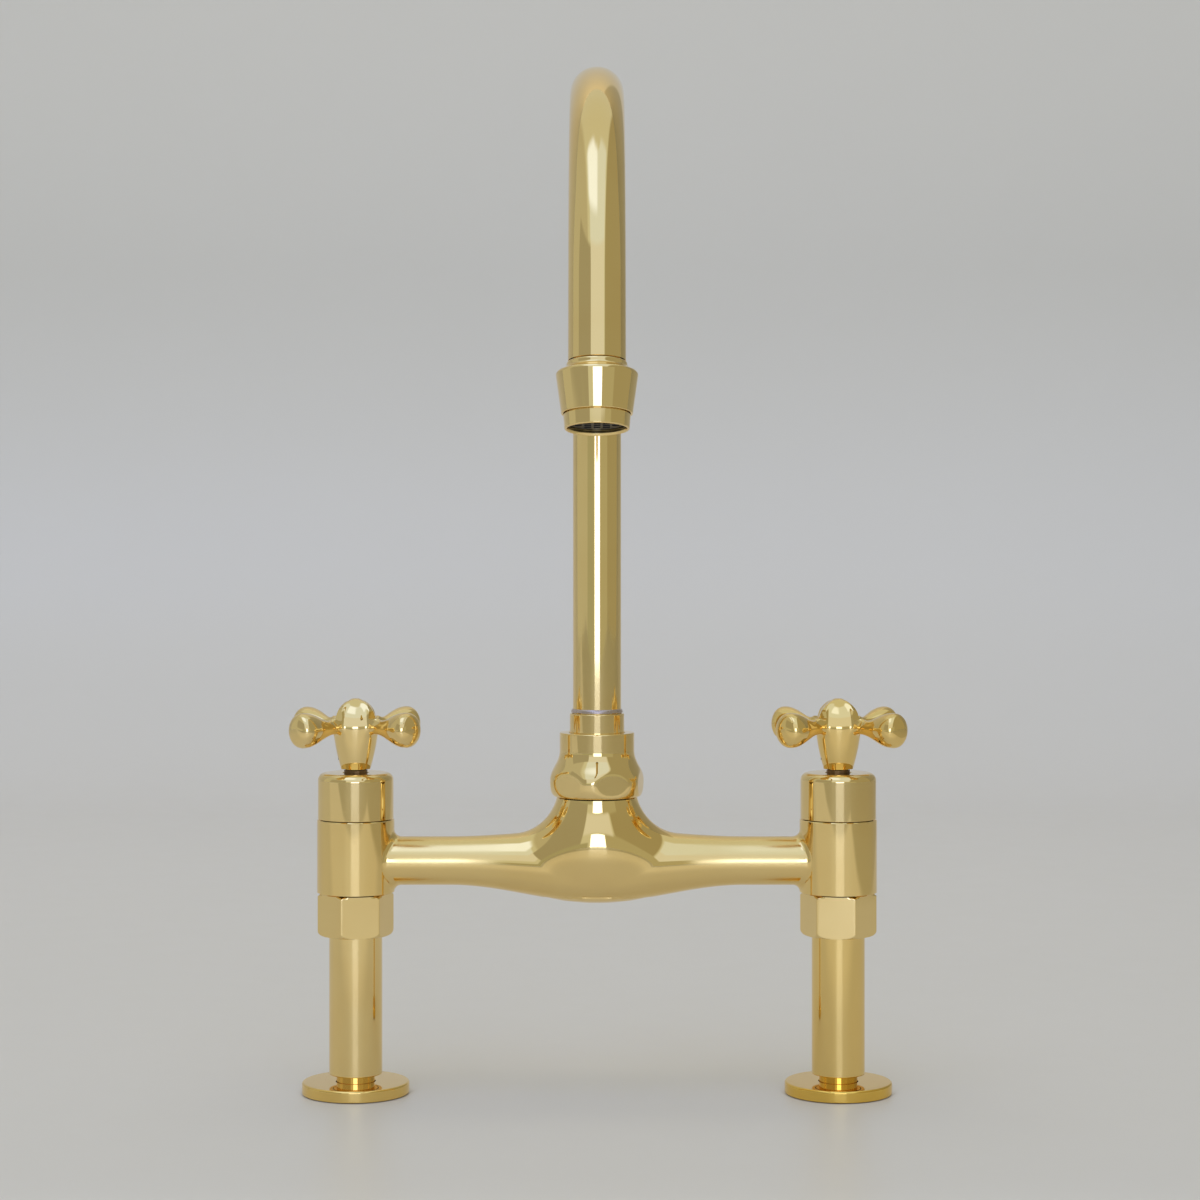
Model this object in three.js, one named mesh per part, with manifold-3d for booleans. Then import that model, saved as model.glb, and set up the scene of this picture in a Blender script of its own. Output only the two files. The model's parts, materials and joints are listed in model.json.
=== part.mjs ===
// A bridge kitchen tap in polished brass: two quarter-turn valves on legs, joined by a cast
// bridge whose saddle carries a swivelling swan-neck spout.
// Millimetres. +Z is up, +X is to the right of someone standing at the sink and the spout
// reaches towards -Y. The origin is on the deck, midway between the two feet.
import * as THREE from "three";
import { mergeVertices } from "three/addons/utils/BufferGeometryUtils.js";
import Module from "manifold-3d";

const wasm = await Module();
wasm.setup();

// ---------------------------------------------------------------- driving dimensions
const LEG_CENTRES = 200;
const BRIDGE_HEIGHT = 96; // the bridge's axis above the deck
const CLEARANCE = 0.3; // between any two fitted pieces

// bridge casting
const ARM_DIAMETER = 20;
const ARM_BORE = 12;
const SADDLE_DIAMETER = 35;
const SADDLE_RISE = 26.5; // the nut's seat above the bridge axis
const SADDLE_FILLET = 20;
const SADDLE_FADE = 10; // height over which the neck fades into the bridge
const SWELL_REACH = 61; // where the arm starts to swell, from the middle
const SWELL_RISE = 5.2; // how much wider the bridge's radius is at the middle
const SWELL_SAG = 2; // how far its centre line sinks there
const PILLAR_DIAMETER = 32;
const PILLAR_RISE = 17.2;
const PILLAR_DROP = 13.1;
const PILLAR_FILLET = 3;
const CHAMBER_BORE = 20.6; // holds the ceramic cartridge
const SEAT_DROP = 8; // the cartridge's seat below the bridge axis
const SEAT_BORE = 12;
const INLET_SPIGOT = 24; // diameter of the threaded inlet under each pillar
const INLET_SPIGOT_LENGTH = 9;
const SPOUT_SPIGOT = 27.4; // diameter of the threaded boss on the saddle
const SPOUT_SPIGOT_LENGTH = 15.5;
const SPOUT_SPIGOT_WALL = 3.4;
const SPOUT_SOCKET_DEPTH = 25;
const RISER_BORE = 13; // between the bridge's waterway and the spout's socket

// ceramic cartridge
const SEAL_THICKNESS = 1.8;
const DISC_DIAMETER = 15.4;
const DISC_THICKNESS = 2.6;
const DISC_WEB = 3; // ceramic left between the two ports
const DISC_RIM = 1.6; // and outside them
const PORT_SPREAD = 80; // degrees
const CARTRIDGE_CAVITY = 7.4; // height of the room for the driver above the discs
const CARTRIDGE_WINDOW = 6; // height of the outlet windows
const CARTRIDGE_FLANGE = 3;
const CARTRIDGE_HEX = 22; // across flats
const CARTRIDGE_NECK = 15;
const CARTRIDGE_NECK_TOP = 32; // above the bridge axis
const BODY_SEAL_HEIGHT = 12.5; // of the O-ring round the cartridge
const BODY_SEAL_SECTION = 1.6;
const SPINDLE_DIAMETER = 9.7;
const DRIVER_THICKNESS = 3;
const TONGUE_WIDTH = 4.4;
const TONGUE_DEPTH = 1;
const SPINDLE_SEAL_HEIGHT = 23;
const SPINDLE_SEAL_SECTION = 1.4;
const CIRCLIP_THICKNESS = 1;
const CIRCLIP_WIDTH = 2.4;
const CIRCLIP_GAP = 50; // degrees
const SPLINE_DIAMETER = 8.2;
const SPLINE_TEETH = 20;
const SPLINE_TOOTH = 0.5;
const SPLINE_TOP = 50; // above the bridge axis

// valve cap
const CAP_DIAMETER = 31.3;
const CAP_HEIGHT = 19;
const CAP_WALL = 2;
const CAP_ROOF = 1.6;
const CAP_EDGE_RADIUS = 3;

// cross handle
const HANDLE_AXIS_RISE = 55.4; // the arms' axis above the bridge axis
const HUB_FOOT_DIAMETER = 12;
const HUB_DIAMETER = 18.6;
const HUB_DROP = 17.5; // foot of the hub below the arms' axis
const HUB_TAPER = 1.6; // how soon the hub widens above its foot
const HUB_LIP = 2; // height over which the hub draws in to the crown
const CROWN_DIAMETER = 18;
const CROWN_RISE = 10.8; // top of the crown above the arms' axis
const HANDLE_REACH = 33.9; // hub axis to arm end
const WAIST_DIAMETER = 4.8;
const WAIST_PLACE = 12; // along the arm
const KNOB_HEIGHT = 14.3;
const KNOB_PLACE = 29.2;
const KNOB_FLATNESS = 0.92; // width of an arm over its height
const KNOB_BULGE = 2.6; // 2 is an ellipse
const RIDGE_REACH = 11.4; // along the arm, of the ridge that climbs the crown
const RIDGE_BELL = 3.5; // how full the ridge's bell curve is
const HANDLE_MELT = 0.9; // softness of the joins between hub and arms
const HANDLE_TURN = { left: 49, right: 44 }; // degrees about the spindle
const GRUB_DIAMETER = 3.8;
const GRUB_RISE = 5.6; // above the hub's foot
const GRUB_SOCKET = 2; // across flats

// union nuts and legs
const NUT_FLATS = 27.5;
const NUT_TURN = { left: 12.5, right: -8.7 }; // degrees about the leg
const NUT_HEIGHT = 17.3;
const NUT_LIP = 2.8;
const NUT_CHAMFER = 1;
const NUT_FOOT_RADIUS = 4.5;
const TAIL_WASHER = 1.8;
const TAIL_WASHER_BORE = 16;
const LEG_DIAMETER = 22;
const LEG_WALL = 1.5;
const LEG_COLLAR = 2.6;
const NIPPLE_DIAMETER = 15.8;
const NIPPLE_SHOW = 3.1; // height seen between foot and leg
const NIPPLE_PLUG = 14;
const INLET_THREAD = 10;
const INLET_DEPTH = 12;
const INLET_BORE = 8;
const FOOT_DIAMETER = 44.5;
const FOOT_THICKNESS = 4.8;
const FOOT_CHAMFER = 0.8;

// swivel joint of the spout
const THRUST_WASHER = 1.4;
const COLLAR_FLANGE = 2.6;
const COLLAR_FLANGE_DIAMETER = 26;
const COLLAR_DIAMETER = 22.6;
const COLLAR_TOP = 61.1; // above the bridge axis
const COLLAR_BORE = 14;
const COLLAR_PLUG_LENGTH = 25;
const TUBE_SOCKET_DEPTH = 8;
const SPOUT_SEAL_SECTION = 1.5;
const SPOUT_SEAL_PITCH = 6;
const SLIP_RING = 1.6;
const BRAZE_HEIGHT = 1.6;
const BELL_TOP = 53.2; // above the bridge axis
const BELL_NECK_DIAMETER = 31;
const BELL_DIAMETER = 40;
const BELL_FOOT_DIAMETER = 34.2;
const BELL_WIDEST = 33.4; // height of its widest part above the bridge axis
const BELL_SHOULDER = 45.8;
const BELL_FLATS = 36.8; // across flats
const BELL_FLAT_TURN = 19.5; // degrees from -Y to the first flat
const BELL_EDGE = 0.4;

// spout
const SPOUT_DIAMETER = 20;
const SPOUT_WALL = 1;
const APEX_RISE = 301.7; // centre line of the arch above the bridge axis
const ARCH_RADIUS = 92;
const ARCH_SWEEP = 170; // degrees
const SPOUT_ARM = 31; // straight length after the arch

// nozzle and aerator, measured down the nozzle's axis from the end of the spout
const NOZZLE_TAIL = 7; // pushed up inside the tube
const NOZZLE_TAIL_WALL = 1.2;
const NOZZLE_BEAD = 20.8;
const NOZZLE_BEAD_LENGTH = 2.4;
const NOZZLE_BEAD_EDGE = 0.4;
const NOZZLE_DIAMETER = 28.6;
const NOZZLE_MOUTH_DIAMETER = 24.6;
const NOZZLE_LENGTH = 18.6;
const NOZZLE_SHOULDER = 5.3;
const NOZZLE_SHOULDER_RADIUS = 1.2;
const NOZZLE_THREAD = 22.4;
const NOZZLE_THREAD_DEPTH = 9;
const AERATOR_DIAMETER = 23.2;
const AERATOR_MOUTH = 20.8;
const AERATOR_SHOW = 5;
const AERATOR_EDGE = 1;
const AERATOR_LIP = 1.6;
const AERATOR_LIP_WIDTH = 0.5;
const AERATOR_WASHER = 1.5;
const AERATOR_WASHER_OVERLAP = 1.4;
const INSERT_DIAMETER = 20.6;
const INSERT_WALL = 1;
const INSERT_GRILLE = 1.6;
const GRILLE_PITCH = 3.2;
const GRILLE_BAR = 0.8;
const SCREEN_THICKNESS = 0.6;
const SCREEN_HOLE = 1.6;
const SCREEN_PITCH = 4;

// how finely round things are drawn
const FACETS = { wide: 32, tube: 24, small: 16, fine: 12 };
const ARCH_STEPS = 20;

// ---------------------------------------------------------------- materials
const finish = (color, roughness, metalness) =>
  new THREE.MeshStandardMaterial({ color, roughness, metalness });
const polishedBrass = finish(0xc2a566, 0.1, 1);
const cutBrass = finish(0xa98c4d, 0.35, 1);
const blackRubber = finish(0x161616, 0.8, 0);
const blackPlastic = finish(0x101214, 0.5, 0);
const whiteAcetal = finish(0xe9e6df, 0.45, 0);
const ceramic = finish(0xf1efe9, 0.25, 0);
const steel = finish(0x9a9a9c, 0.3, 1);
const braze = finish(0x8e8384, 0.45, 1);

// ---------------------------------------------------------------- shape helpers
const radians = THREE.MathUtils.degToRad;
const lerp = THREE.MathUtils.lerp;
const circle = 2 * Math.PI;

// A closed surface from a geometry, as a solid that can be joined and cut.
function solid(geometry) {
  const bare = geometry.clone();
  for (const name of Object.keys(bare.attributes)) {
    if (name !== "position") bare.deleteAttribute(name);
  }
  const merged = mergeVertices(bare, 1e-4);
  const corners = merged.index.array;
  const kept = [];
  for (let i = 0; i < corners.length; i += 3) {
    const [a, b, c] = corners.slice(i, i + 3);
    if (a !== b && b !== c && c !== a) kept.push(a, b, c);
  }
  return new wasm.Manifold(
    new wasm.Mesh({
      numProp: 3,
      vertProperties: merged.attributes.position.array,
      triVerts: new Uint32Array(kept),
    }),
  );
}

function geometryOf(body) {
  const { vertProperties, triVerts, numProp, numVert } = body.getMesh();
  const places = new Float32Array(numVert * 3);
  for (let i = 0; i < numVert; i++) {
    places.set(vertProperties.subarray(i * numProp, i * numProp + 3), i * 3);
  }
  const geometry = new THREE.BufferGeometry();
  geometry.setAttribute("position", new THREE.BufferAttribute(places, 3));
  geometry.setIndex(new THREE.BufferAttribute(triVerts, 1));
  geometry.computeVertexNormals();
  return geometry;
}

function join(first, ...others) {
  const whole = others.reduce((body, other) => body.add(solid(other)), solid(first));
  return geometryOf(whole);
}

function cut(blank, ...tools) {
  const rest = tools.reduce((body, tool) => body.subtract(solid(tool)), solid(blank));
  return geometryOf(rest);
}

const common = (first, second) => geometryOf(solid(first).intersect(solid(second)));

// A turned piece: its outline is [radius, height] pairs round the Z axis.
function turned(outline, facets = FACETS.small) {
  const [first, last] = [outline[0], outline.at(-1)];
  const onAxis = first[0] === 0 && last[0] === 0;
  const loop = onAxis ? outline : [...outline, first];
  const points = loop.map(([radius, height]) => new THREE.Vector2(radius, height));
  if (THREE.ShapeUtils.area(points) < 0) points.reverse();
  return new THREE.LatheGeometry(points, facets).rotateX(Math.PI / 2);
}

const rod = (radius, low, high, facets) =>
  turned([[0, low], [radius, low], [radius, high], [0, high]], facets);

const ring = (inner, outer, low, high, facets) =>
  turned([[inner, low], [outer, low], [outer, high], [inner, high]], facets);

// A groove or a hole that runs past the face it starts from.
const PAST = 1;

// Points of a round corner, from one angle to the other, for a turned outline.
function corner(radius, height, size, from, to, steps = 4) {
  return Array.from({ length: steps + 1 }, (_, i) => {
    const angle = radians(lerp(from, to, i / steps));
    return [radius + size * Math.cos(angle), height + size * Math.sin(angle)];
  });
}

const block = (width, depth, height, x, y, z) =>
  new THREE.BoxGeometry(width, depth, height).translate(x, y, z);

// A prism of even sides, given across flats, with a flat facing +Y.
function prism(acrossFlats, sides, low, high) {
  const radius = acrossFlats / 2 / Math.cos(Math.PI / sides);
  const outline = new THREE.Shape();
  for (let i = 0; i < sides; i++) {
    const angle = Math.PI / 2 + ((i + 0.5) * circle) / sides;
    const place = [radius * Math.cos(angle), radius * Math.sin(angle)];
    if (i) outline.lineTo(...place);
    else outline.moveTo(...place);
  }
  const shape = new THREE.ExtrudeGeometry(outline, { depth: high - low, bevelEnabled: false });
  return shape.translate(0, 0, low);
}

const oRing = (inner, section, height) =>
  new THREE.TorusGeometry(inner + section / 2, section / 2, 6, FACETS.small).translate(
    0, 0, height,
  );

// A surface drawn as lines side by side; line j+1 lies clockwise of line j as seen by
// someone looking along the lines with the surface underfoot.
function skin(lines, flipped, triangles) {
  for (let j = 0; j + 1 < lines.length; j++) {
    const [here, next] = [lines[j], lines[j + 1]];
    for (let i = 0; i + 1 < here.length; i++) {
      const pair = [
        [here[i], next[i], here[i + 1]],
        [next[i], next[i + 1], here[i + 1]],
      ];
      for (const [a, b, c] of pair) triangles.push(...(flipped ? [a, c, b] : [a, b, c]));
    }
  }
}

const fromTriangles = (triangles) => new THREE.BufferGeometry().setFromPoints(triangles);

// Moves a point along the steepest way until it lies where gap(point) is nought.
function settle(point, gap) {
  const step = 1e-3;
  for (let round = 0; round < 14; round++) {
    const slope = new THREE.Vector3();
    for (const axis of ["x", "y", "z"]) {
      const [ahead, behind] = [point.clone(), point.clone()];
      ahead[axis] += step;
      behind[axis] -= step;
      slope[axis] = (gap(ahead) - gap(behind)) / (2 * step);
    }
    point.addScaledVector(slope, -gap(point) / slope.lengthSq());
  }
  return point;
}

// Two surfaces that run into each other with a soft fillet, given the gaps to each of them.
function blended(gapA, gapB, radius) {
  if (Math.min(gapA, gapB) > radius) return Math.min(gapA, gapB);
  return radius - Math.hypot(Math.max(radius - gapA, 0), Math.max(radius - gapB, 0));
}

// Several surfaces melted together over a given width.
const melted = (width, ...gaps) =>
  -width * Math.log(gaps.reduce((sum, gap) => sum + Math.exp(-gap / width), 0));

// ---------------------------------------------------------------- levels above the bridge axis
const legX = LEG_CENTRES / 2;
const pillarRadius = PILLAR_DIAMETER / 2;
const armRadius = ARM_DIAMETER / 2;
const saddleRadius = SADDLE_DIAMETER / 2;
const deckLevel = -BRIDGE_HEIGHT;
const spigotFoot = -PILLAR_DROP - INLET_SPIGOT_LENGTH;
const spigotTop = SADDLE_RISE + SPOUT_SPIGOT_LENGTH;
const socketFloor = spigotTop - SPOUT_SOCKET_DEPTH;

const discFoot = -SEAT_DROP + SEAL_THICKNESS + 2 * CLEARANCE;
const movingDiscFoot = discFoot + DISC_THICKNESS + CLEARANCE;
const driverFoot = movingDiscFoot + DISC_THICKNESS + CLEARANCE;
const cavityRoof = driverFoot + CARTRIDGE_CAVITY;
const flangeFoot = PILLAR_RISE + CLEARANCE;

const capFoot = PILLAR_RISE + CLEARANCE;
const capTop = capFoot + CAP_HEIGHT;
const hubFoot = HANDLE_AXIS_RISE - HUB_DROP;

const washerFoot = spigotTop + CLEARANCE;
const collarFlangeFoot = washerFoot + THRUST_WASHER + CLEARANCE;
const slipRingFoot = collarFlangeFoot + COLLAR_FLANGE + CLEARANCE;
const bellLip = slipRingFoot + SLIP_RING + CLEARANCE;
const tubeFoot = COLLAR_TOP - TUBE_SOCKET_DEPTH + CLEARANCE;

const nutTop = -PILLAR_DROP - CLEARANCE;
const nutFoot = nutTop - NUT_HEIGHT;
const tailWasherTop = spigotFoot - CLEARANCE;
const legTop = tailWasherTop - TAIL_WASHER - CLEARANCE;
const footTop = deckLevel + FOOT_THICKNESS;
const legFoot = footTop + NIPPLE_SHOW;

// ---------------------------------------------------------------- bridge casting
// The bridge is a tube that swells and sags towards the middle: the share of it at a place.
const swell = (x) => Math.cos((Math.PI / 2) * Math.min(Math.abs(x) / SWELL_REACH, 1)) ** 2;
const tubeRadius = (x) => armRadius + SWELL_RISE * swell(x);
const tubeAxis = (x) => -SWELL_SAG * swell(x);

// The upright neck fades downwards and runs into the tube with a fillet.
function saddleGap({ x, y, z }) {
  const fromTube = Math.hypot(y, z - tubeAxis(x)) - tubeRadius(x);
  const fromNeck = Math.hypot(x, y) - saddleRadius + Math.hypot(z, SADDLE_FADE) - z;
  return blended(fromTube, fromNeck, SADDLE_FILLET);
}

// One line along the casting's skin, at an angle round the bridge axis from the top: out of
// the pillar, through the fillet, along the arm, and then up the neck or under the saddle.
function castingLine(angle, neckRise) {
  const [across, up] = [Math.sin(angle), Math.cos(angle)];
  const around = (x, radius) => new THREE.Vector3(x, radius * across, radius * up);
  const sunk = legX - pillarRadius / 3;
  const line = [new THREE.Vector3(sunk, 0, 0), around(sunk, armRadius + PILLAR_FILLET / 2)];
  const filletSteps = 4;
  for (let i = 0; i <= filletSteps; i++) {
    const turn = (Math.PI / 2) * (1 - i / filletSteps);
    const radius = armRadius + PILLAR_FILLET * (1 - Math.cos(turn));
    const reach = pillarRadius + PILLAR_FILLET * (1 - Math.sin(turn));
    line.push(around(legX - Math.sqrt(reach ** 2 - (radius * across) ** 2), radius));
  }
  const armSteps = 7;
  const upper = up > -1e-9;
  const elbowX = upper ? saddleRadius * up : 0;
  for (let i = 0; i <= armSteps; i++) {
    const x = lerp(SWELL_REACH, elbowX, i / armSteps);
    const radius = tubeRadius(x);
    line.push(settle(new THREE.Vector3(x, radius * across, tubeAxis(x) + radius * up), saddleGap));
  }
  if (!upper) return line;
  const neckSteps = 5;
  const elbow = line.at(-1);
  for (let i = 1; i <= neckSteps; i++) {
    const share = i / neckSteps;
    const y = lerp(elbow.y, saddleRadius * across, share);
    const place = new THREE.Vector3(elbowX, y, lerp(elbow.z, neckRise, share));
    line.push(settle(place, saddleGap));
  }
  line.push(new THREE.Vector3(0, 0, neckRise));
  return line;
}

function bridgeCasting() {
  const neckRise = SADDLE_RISE + 4;
  const quarter = 6;
  const upper = [];
  const lower = [];
  for (let j = 0; j <= quarter; j++) {
    upper.push(castingLine((Math.PI / 2) * (j / quarter), neckRise));
    lower.push(castingLine((Math.PI / 2) * (1 + j / quarter)));
  }
  lower[0] = upper.at(-1).slice(0, lower[1].length);
  const triangles = [];
  for (const sideX of [-1, 1]) {
    for (const sideY of [-1, 1]) {
      const mirrored = (line) => line.map((p) => new THREE.Vector3(p.x * sideX, p.y * sideY, p.z));
      skin(upper.map(mirrored), sideX * sideY < 0, triangles);
      skin(lower.map(mirrored), sideX * sideY < 0, triangles);
    }
  }
  const seatCut = block(3 * saddleRadius, 3 * saddleRadius, 8, 0, 0, SADDLE_RISE + 4);
  return cut(fromTriangles(triangles), seatCut);
}

function bridgeBody() {
  const pillar = (x) =>
    rod(pillarRadius, -PILLAR_DROP, PILLAR_RISE, FACETS.wide).translate(x, 0, 0);
  const inlet = (x) =>
    rod(INLET_SPIGOT / 2, spigotFoot, -PILLAR_DROP + PAST, FACETS.tube).translate(x, 0, 0);
  const spoutSpigot = rod(SPOUT_SPIGOT / 2, SADDLE_RISE - PAST, spigotTop, FACETS.tube);
  const body = join(
    bridgeCasting(), pillar(-legX), pillar(legX), inlet(-legX), inlet(legX), spoutSpigot,
  );
  const chamber = (x) =>
    rod(CHAMBER_BORE / 2, -SEAT_DROP, PILLAR_RISE + PAST, FACETS.small).translate(x, 0, 0);
  const seatHole = (x) =>
    rod(SEAT_BORE / 2, spigotFoot - PAST, 0, FACETS.fine).translate(x, 0, 0);
  const waterway = rod(ARM_BORE / 2, -legX, legX, FACETS.fine).rotateY(Math.PI / 2);
  const socket = rod(SPOUT_SPIGOT / 2 - SPOUT_SPIGOT_WALL, socketFloor, spigotTop + PAST, FACETS.small);
  const riserHole = rod(RISER_BORE / 2, 0, socketFloor + PAST, FACETS.fine);
  return cut(
    body, chamber(-legX), chamber(legX), seatHole(-legX), seatHole(legX), waterway, socket,
    riserHole,
  );
}

// ---------------------------------------------------------------- valve cap and cartridge
function valveCap() {
  const outer = CAP_DIAMETER / 2;
  const inner = outer - CAP_WALL;
  const hole = SPINDLE_DIAMETER / 2 + 2 * CLEARANCE;
  const edge = corner(outer - CAP_EDGE_RADIUS, capTop - CAP_EDGE_RADIUS, CAP_EDGE_RADIUS, 0, 90);
  return turned(
    [
      [inner, capFoot], [outer, capFoot], ...edge, [hole, capTop],
      [hole, capTop - CAP_ROOF], [inner, capTop - CAP_ROOF - CAP_WALL],
    ],
    FACETS.wide,
  );
}

const cartridgeRadius = CHAMBER_BORE / 2 - CLEARANCE;
const cartridgeCavity = DISC_DIAMETER / 2 + CLEARANCE;

function cartridgeBody() {
  const bore = SPINDLE_DIAMETER / 2 + CLEARANCE;
  const grooveFloor = cartridgeRadius - BODY_SEAL_SECTION - CLEARANCE;
  const grooveHalf = BODY_SEAL_SECTION / 2 + CLEARANCE;
  const turnedBody = turned(
    [
      [cartridgeCavity, discFoot],
      [cartridgeRadius, discFoot],
      [cartridgeRadius, BODY_SEAL_HEIGHT - grooveHalf],
      [grooveFloor, BODY_SEAL_HEIGHT - grooveHalf],
      [grooveFloor, BODY_SEAL_HEIGHT + grooveHalf],
      [cartridgeRadius, BODY_SEAL_HEIGHT + grooveHalf],
      [cartridgeRadius, flangeFoot],
      [CARTRIDGE_NECK / 2, flangeFoot + PAST],
      [CARTRIDGE_NECK / 2, CARTRIDGE_NECK_TOP],
      [bore, CARTRIDGE_NECK_TOP],
      [bore, cavityRoof],
      [cartridgeCavity, cavityRoof],
    ],
    FACETS.small,
  );
  const hexagon = cut(
    prism(CARTRIDGE_HEX, 6, flangeFoot, flangeFoot + CARTRIDGE_FLANGE),
    rod(bore + PAST, flangeFoot - PAST, flangeFoot + CARTRIDGE_FLANGE + PAST, FACETS.small),
  );
  const windowMiddle = driverFoot + CARTRIDGE_WINDOW / 2;
  const windows = block(
    3 * cartridgeRadius, cartridgeRadius, CARTRIDGE_WINDOW, 0, 0, windowMiddle,
  );
  return cut(join(turnedBody, hexagon), windows);
}

const seatSeal = () =>
  ring(
    SEAT_BORE / 2 + CLEARANCE, cartridgeRadius - CLEARANCE,
    -SEAT_DROP + CLEARANCE, -SEAT_DROP + CLEARANCE + SEAL_THICKNESS,
  );

// A ceramic disc with two ports that face each other across a web.
function ceramicDisc(foot, slotWidth, slotDepth) {
  const radius = DISC_DIAMETER / 2;
  const port = new THREE.Shape();
  const [portRadius, half] = [radius - DISC_RIM, radians(PORT_SPREAD / 2)];
  port.moveTo(DISC_WEB, 0);
  port.absarc(0, 0, portRadius, -half, half, false);
  port.lineTo(DISC_WEB, 0);
  const depth = DISC_THICKNESS + 2 * PAST;
  const tool = new THREE.ExtrudeGeometry(port, { depth, bevelEnabled: false, curveSegments: 6 });
  tool.translate(0, 0, foot - PAST);
  const disc = cut(rod(radius, foot, foot + DISC_THICKNESS), tool, tool.clone().rotateZ(Math.PI));
  if (!slotWidth) return disc;
  const slotMiddle = foot + DISC_THICKNESS - slotDepth / 2 + PAST / 2;
  return cut(disc, block(slotWidth, 3 * radius, slotDepth + PAST, 0, 0, slotMiddle));
}

function spindle() {
  const shaft = SPINDLE_DIAMETER / 2;
  const spline = SPLINE_DIAMETER / 2;
  const sealFloor = shaft - SPINDLE_SEAL_SECTION - CLEARANCE;
  const sealHalf = SPINDLE_SEAL_SECTION / 2 + CLEARANCE;
  const clipFloor = shaft - CLEARANCE - CIRCLIP_WIDTH / 3;
  const clipTop = CARTRIDGE_NECK_TOP + CIRCLIP_THICKNESS + 2 * CLEARANCE;
  const driver = DISC_DIAMETER / 2 - CLEARANCE;
  const body = turned([
    [0, driverFoot],
    [driver, driverFoot],
    [driver, driverFoot + DRIVER_THICKNESS],
    [shaft, driverFoot + DRIVER_THICKNESS],
    [shaft, SPINDLE_SEAL_HEIGHT - sealHalf],
    [sealFloor, SPINDLE_SEAL_HEIGHT - sealHalf],
    [sealFloor, SPINDLE_SEAL_HEIGHT + sealHalf],
    [shaft, SPINDLE_SEAL_HEIGHT + sealHalf],
    [shaft, CARTRIDGE_NECK_TOP],
    [clipFloor, CARTRIDGE_NECK_TOP],
    [clipFloor, clipTop],
    [shaft, clipTop],
    [shaft, hubFoot - CLEARANCE],
    [0, hubFoot - CLEARANCE],
  ]);
  const tongue = block(
    TONGUE_WIDTH, 2 * driver - 2, TONGUE_DEPTH + PAST, 0, 0,
    driverFoot - TONGUE_DEPTH / 2 + PAST / 2,
  );
  const teeth = new THREE.Shape();
  for (let i = 0; i < 2 * SPLINE_TEETH; i++) {
    const angle = (circle * i) / (2 * SPLINE_TEETH);
    const radius = i % 2 ? spline - SPLINE_TOOTH : spline;
    const place = [radius * Math.cos(angle), radius * Math.sin(angle)];
    if (i) teeth.lineTo(...place);
    else teeth.moveTo(...place);
  }
  const splineFoot = hubFoot - CLEARANCE - PAST;
  const splined = new THREE.ExtrudeGeometry(teeth, {
    depth: SPLINE_TOP - splineFoot,
    bevelEnabled: false,
  }).translate(0, 0, splineFoot);
  const flow = driver - shaft;
  const notch = (sign) =>
    rod(flow, driverFoot - 2, driverFoot + DRIVER_THICKNESS + PAST, FACETS.fine)
      .translate(sign * driver, 0, 0);
  return cut(join(body, tongue, splined), notch(-1), notch(1));
}

function circlip() {
  const inner = SPINDLE_DIAMETER / 2 - CIRCLIP_WIDTH / 3;
  const outer = inner + CIRCLIP_WIDTH;
  const half = radians(CIRCLIP_GAP / 2);
  const outline = new THREE.Shape();
  outline.absarc(0, 0, outer, half, circle - half, false);
  outline.absarc(0, 0, inner, circle - half, half, true);
  const clip = new THREE.ExtrudeGeometry(outline, {
    depth: CIRCLIP_THICKNESS, bevelEnabled: false, curveSegments: 14,
  });
  return clip.translate(0, 0, CARTRIDGE_NECK_TOP + CLEARANCE);
}

// ---------------------------------------------------------------- cross handle
// Half the height of an arm, at a distance from the hub's axis.
function armHalfHeight(along) {
  const [waist, knob] = [WAIST_DIAMETER / 2, KNOB_HEIGHT / 2];
  if (along <= KNOB_PLACE) {
    return lerp(waist, knob, THREE.MathUtils.smoothstep(along, WAIST_PLACE, KNOB_PLACE));
  }
  const share = Math.min((along - KNOB_PLACE) / (HANDLE_REACH - KNOB_PLACE), 1);
  return knob * (1 - share ** KNOB_BULGE) ** (1 / KNOB_BULGE);
}

// Distance from a point to an oval, close to it.
function ovalGap(across, up, halfWidth, halfHeight) {
  const share = Math.hypot(across / halfWidth, up / halfHeight);
  const slope = Math.hypot(across / halfWidth ** 2, up / halfHeight ** 2) / share;
  return (share - 1) / slope;
}

// Gap to one bar of the cross: along it, across it and up from its axis. Its top climbs the
// crown as a ridge with the outline of a bell.
function barGap(along, across, up) {
  const half = armHalfHeight(Math.min(Math.abs(along), KNOB_PLACE));
  const climb = CROWN_RISE - WAIST_DIAMETER / 2;
  const ridge = climb * Math.exp(-((Math.abs(along) / RIDGE_REACH) ** RIDGE_BELL));
  const tall = up > 0 ? half + ridge : half;
  return ovalGap(across, up, KNOB_FLATNESS * half, tall);
}

// Radius of the hub and its crown at a height from the arms' axis.
function hubRadius(up) {
  const [foot, lip, crown] = [HUB_FOOT_DIAMETER / 2, HUB_DIAMETER / 2, CROWN_DIAMETER / 2];
  if (up < 0) {
    const share = Math.min(1 + up / HUB_DROP, 1);
    return foot + (lip - foot) * (1 - (1 - share) ** HUB_TAPER);
  }
  const dome = Math.sqrt(Math.max(1 - (up / CROWN_RISE) ** 2, 0));
  return crown * dome + (lip - crown) * Math.exp(-((up / HUB_LIP) ** 2));
}

function handleGap({ x, y, z }) {
  const crown = CROWN_DIAMETER / 2;
  const out = Math.hypot(x, y);
  const nearTop = z > CROWN_RISE / 2;
  const fromHub = nearTop ? ovalGap(out, z, crown, CROWN_RISE) : out - hubRadius(z);
  return melted(HANDLE_MELT, fromHub, barGap(x, y, z), barGap(y, x, z));
}

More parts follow.
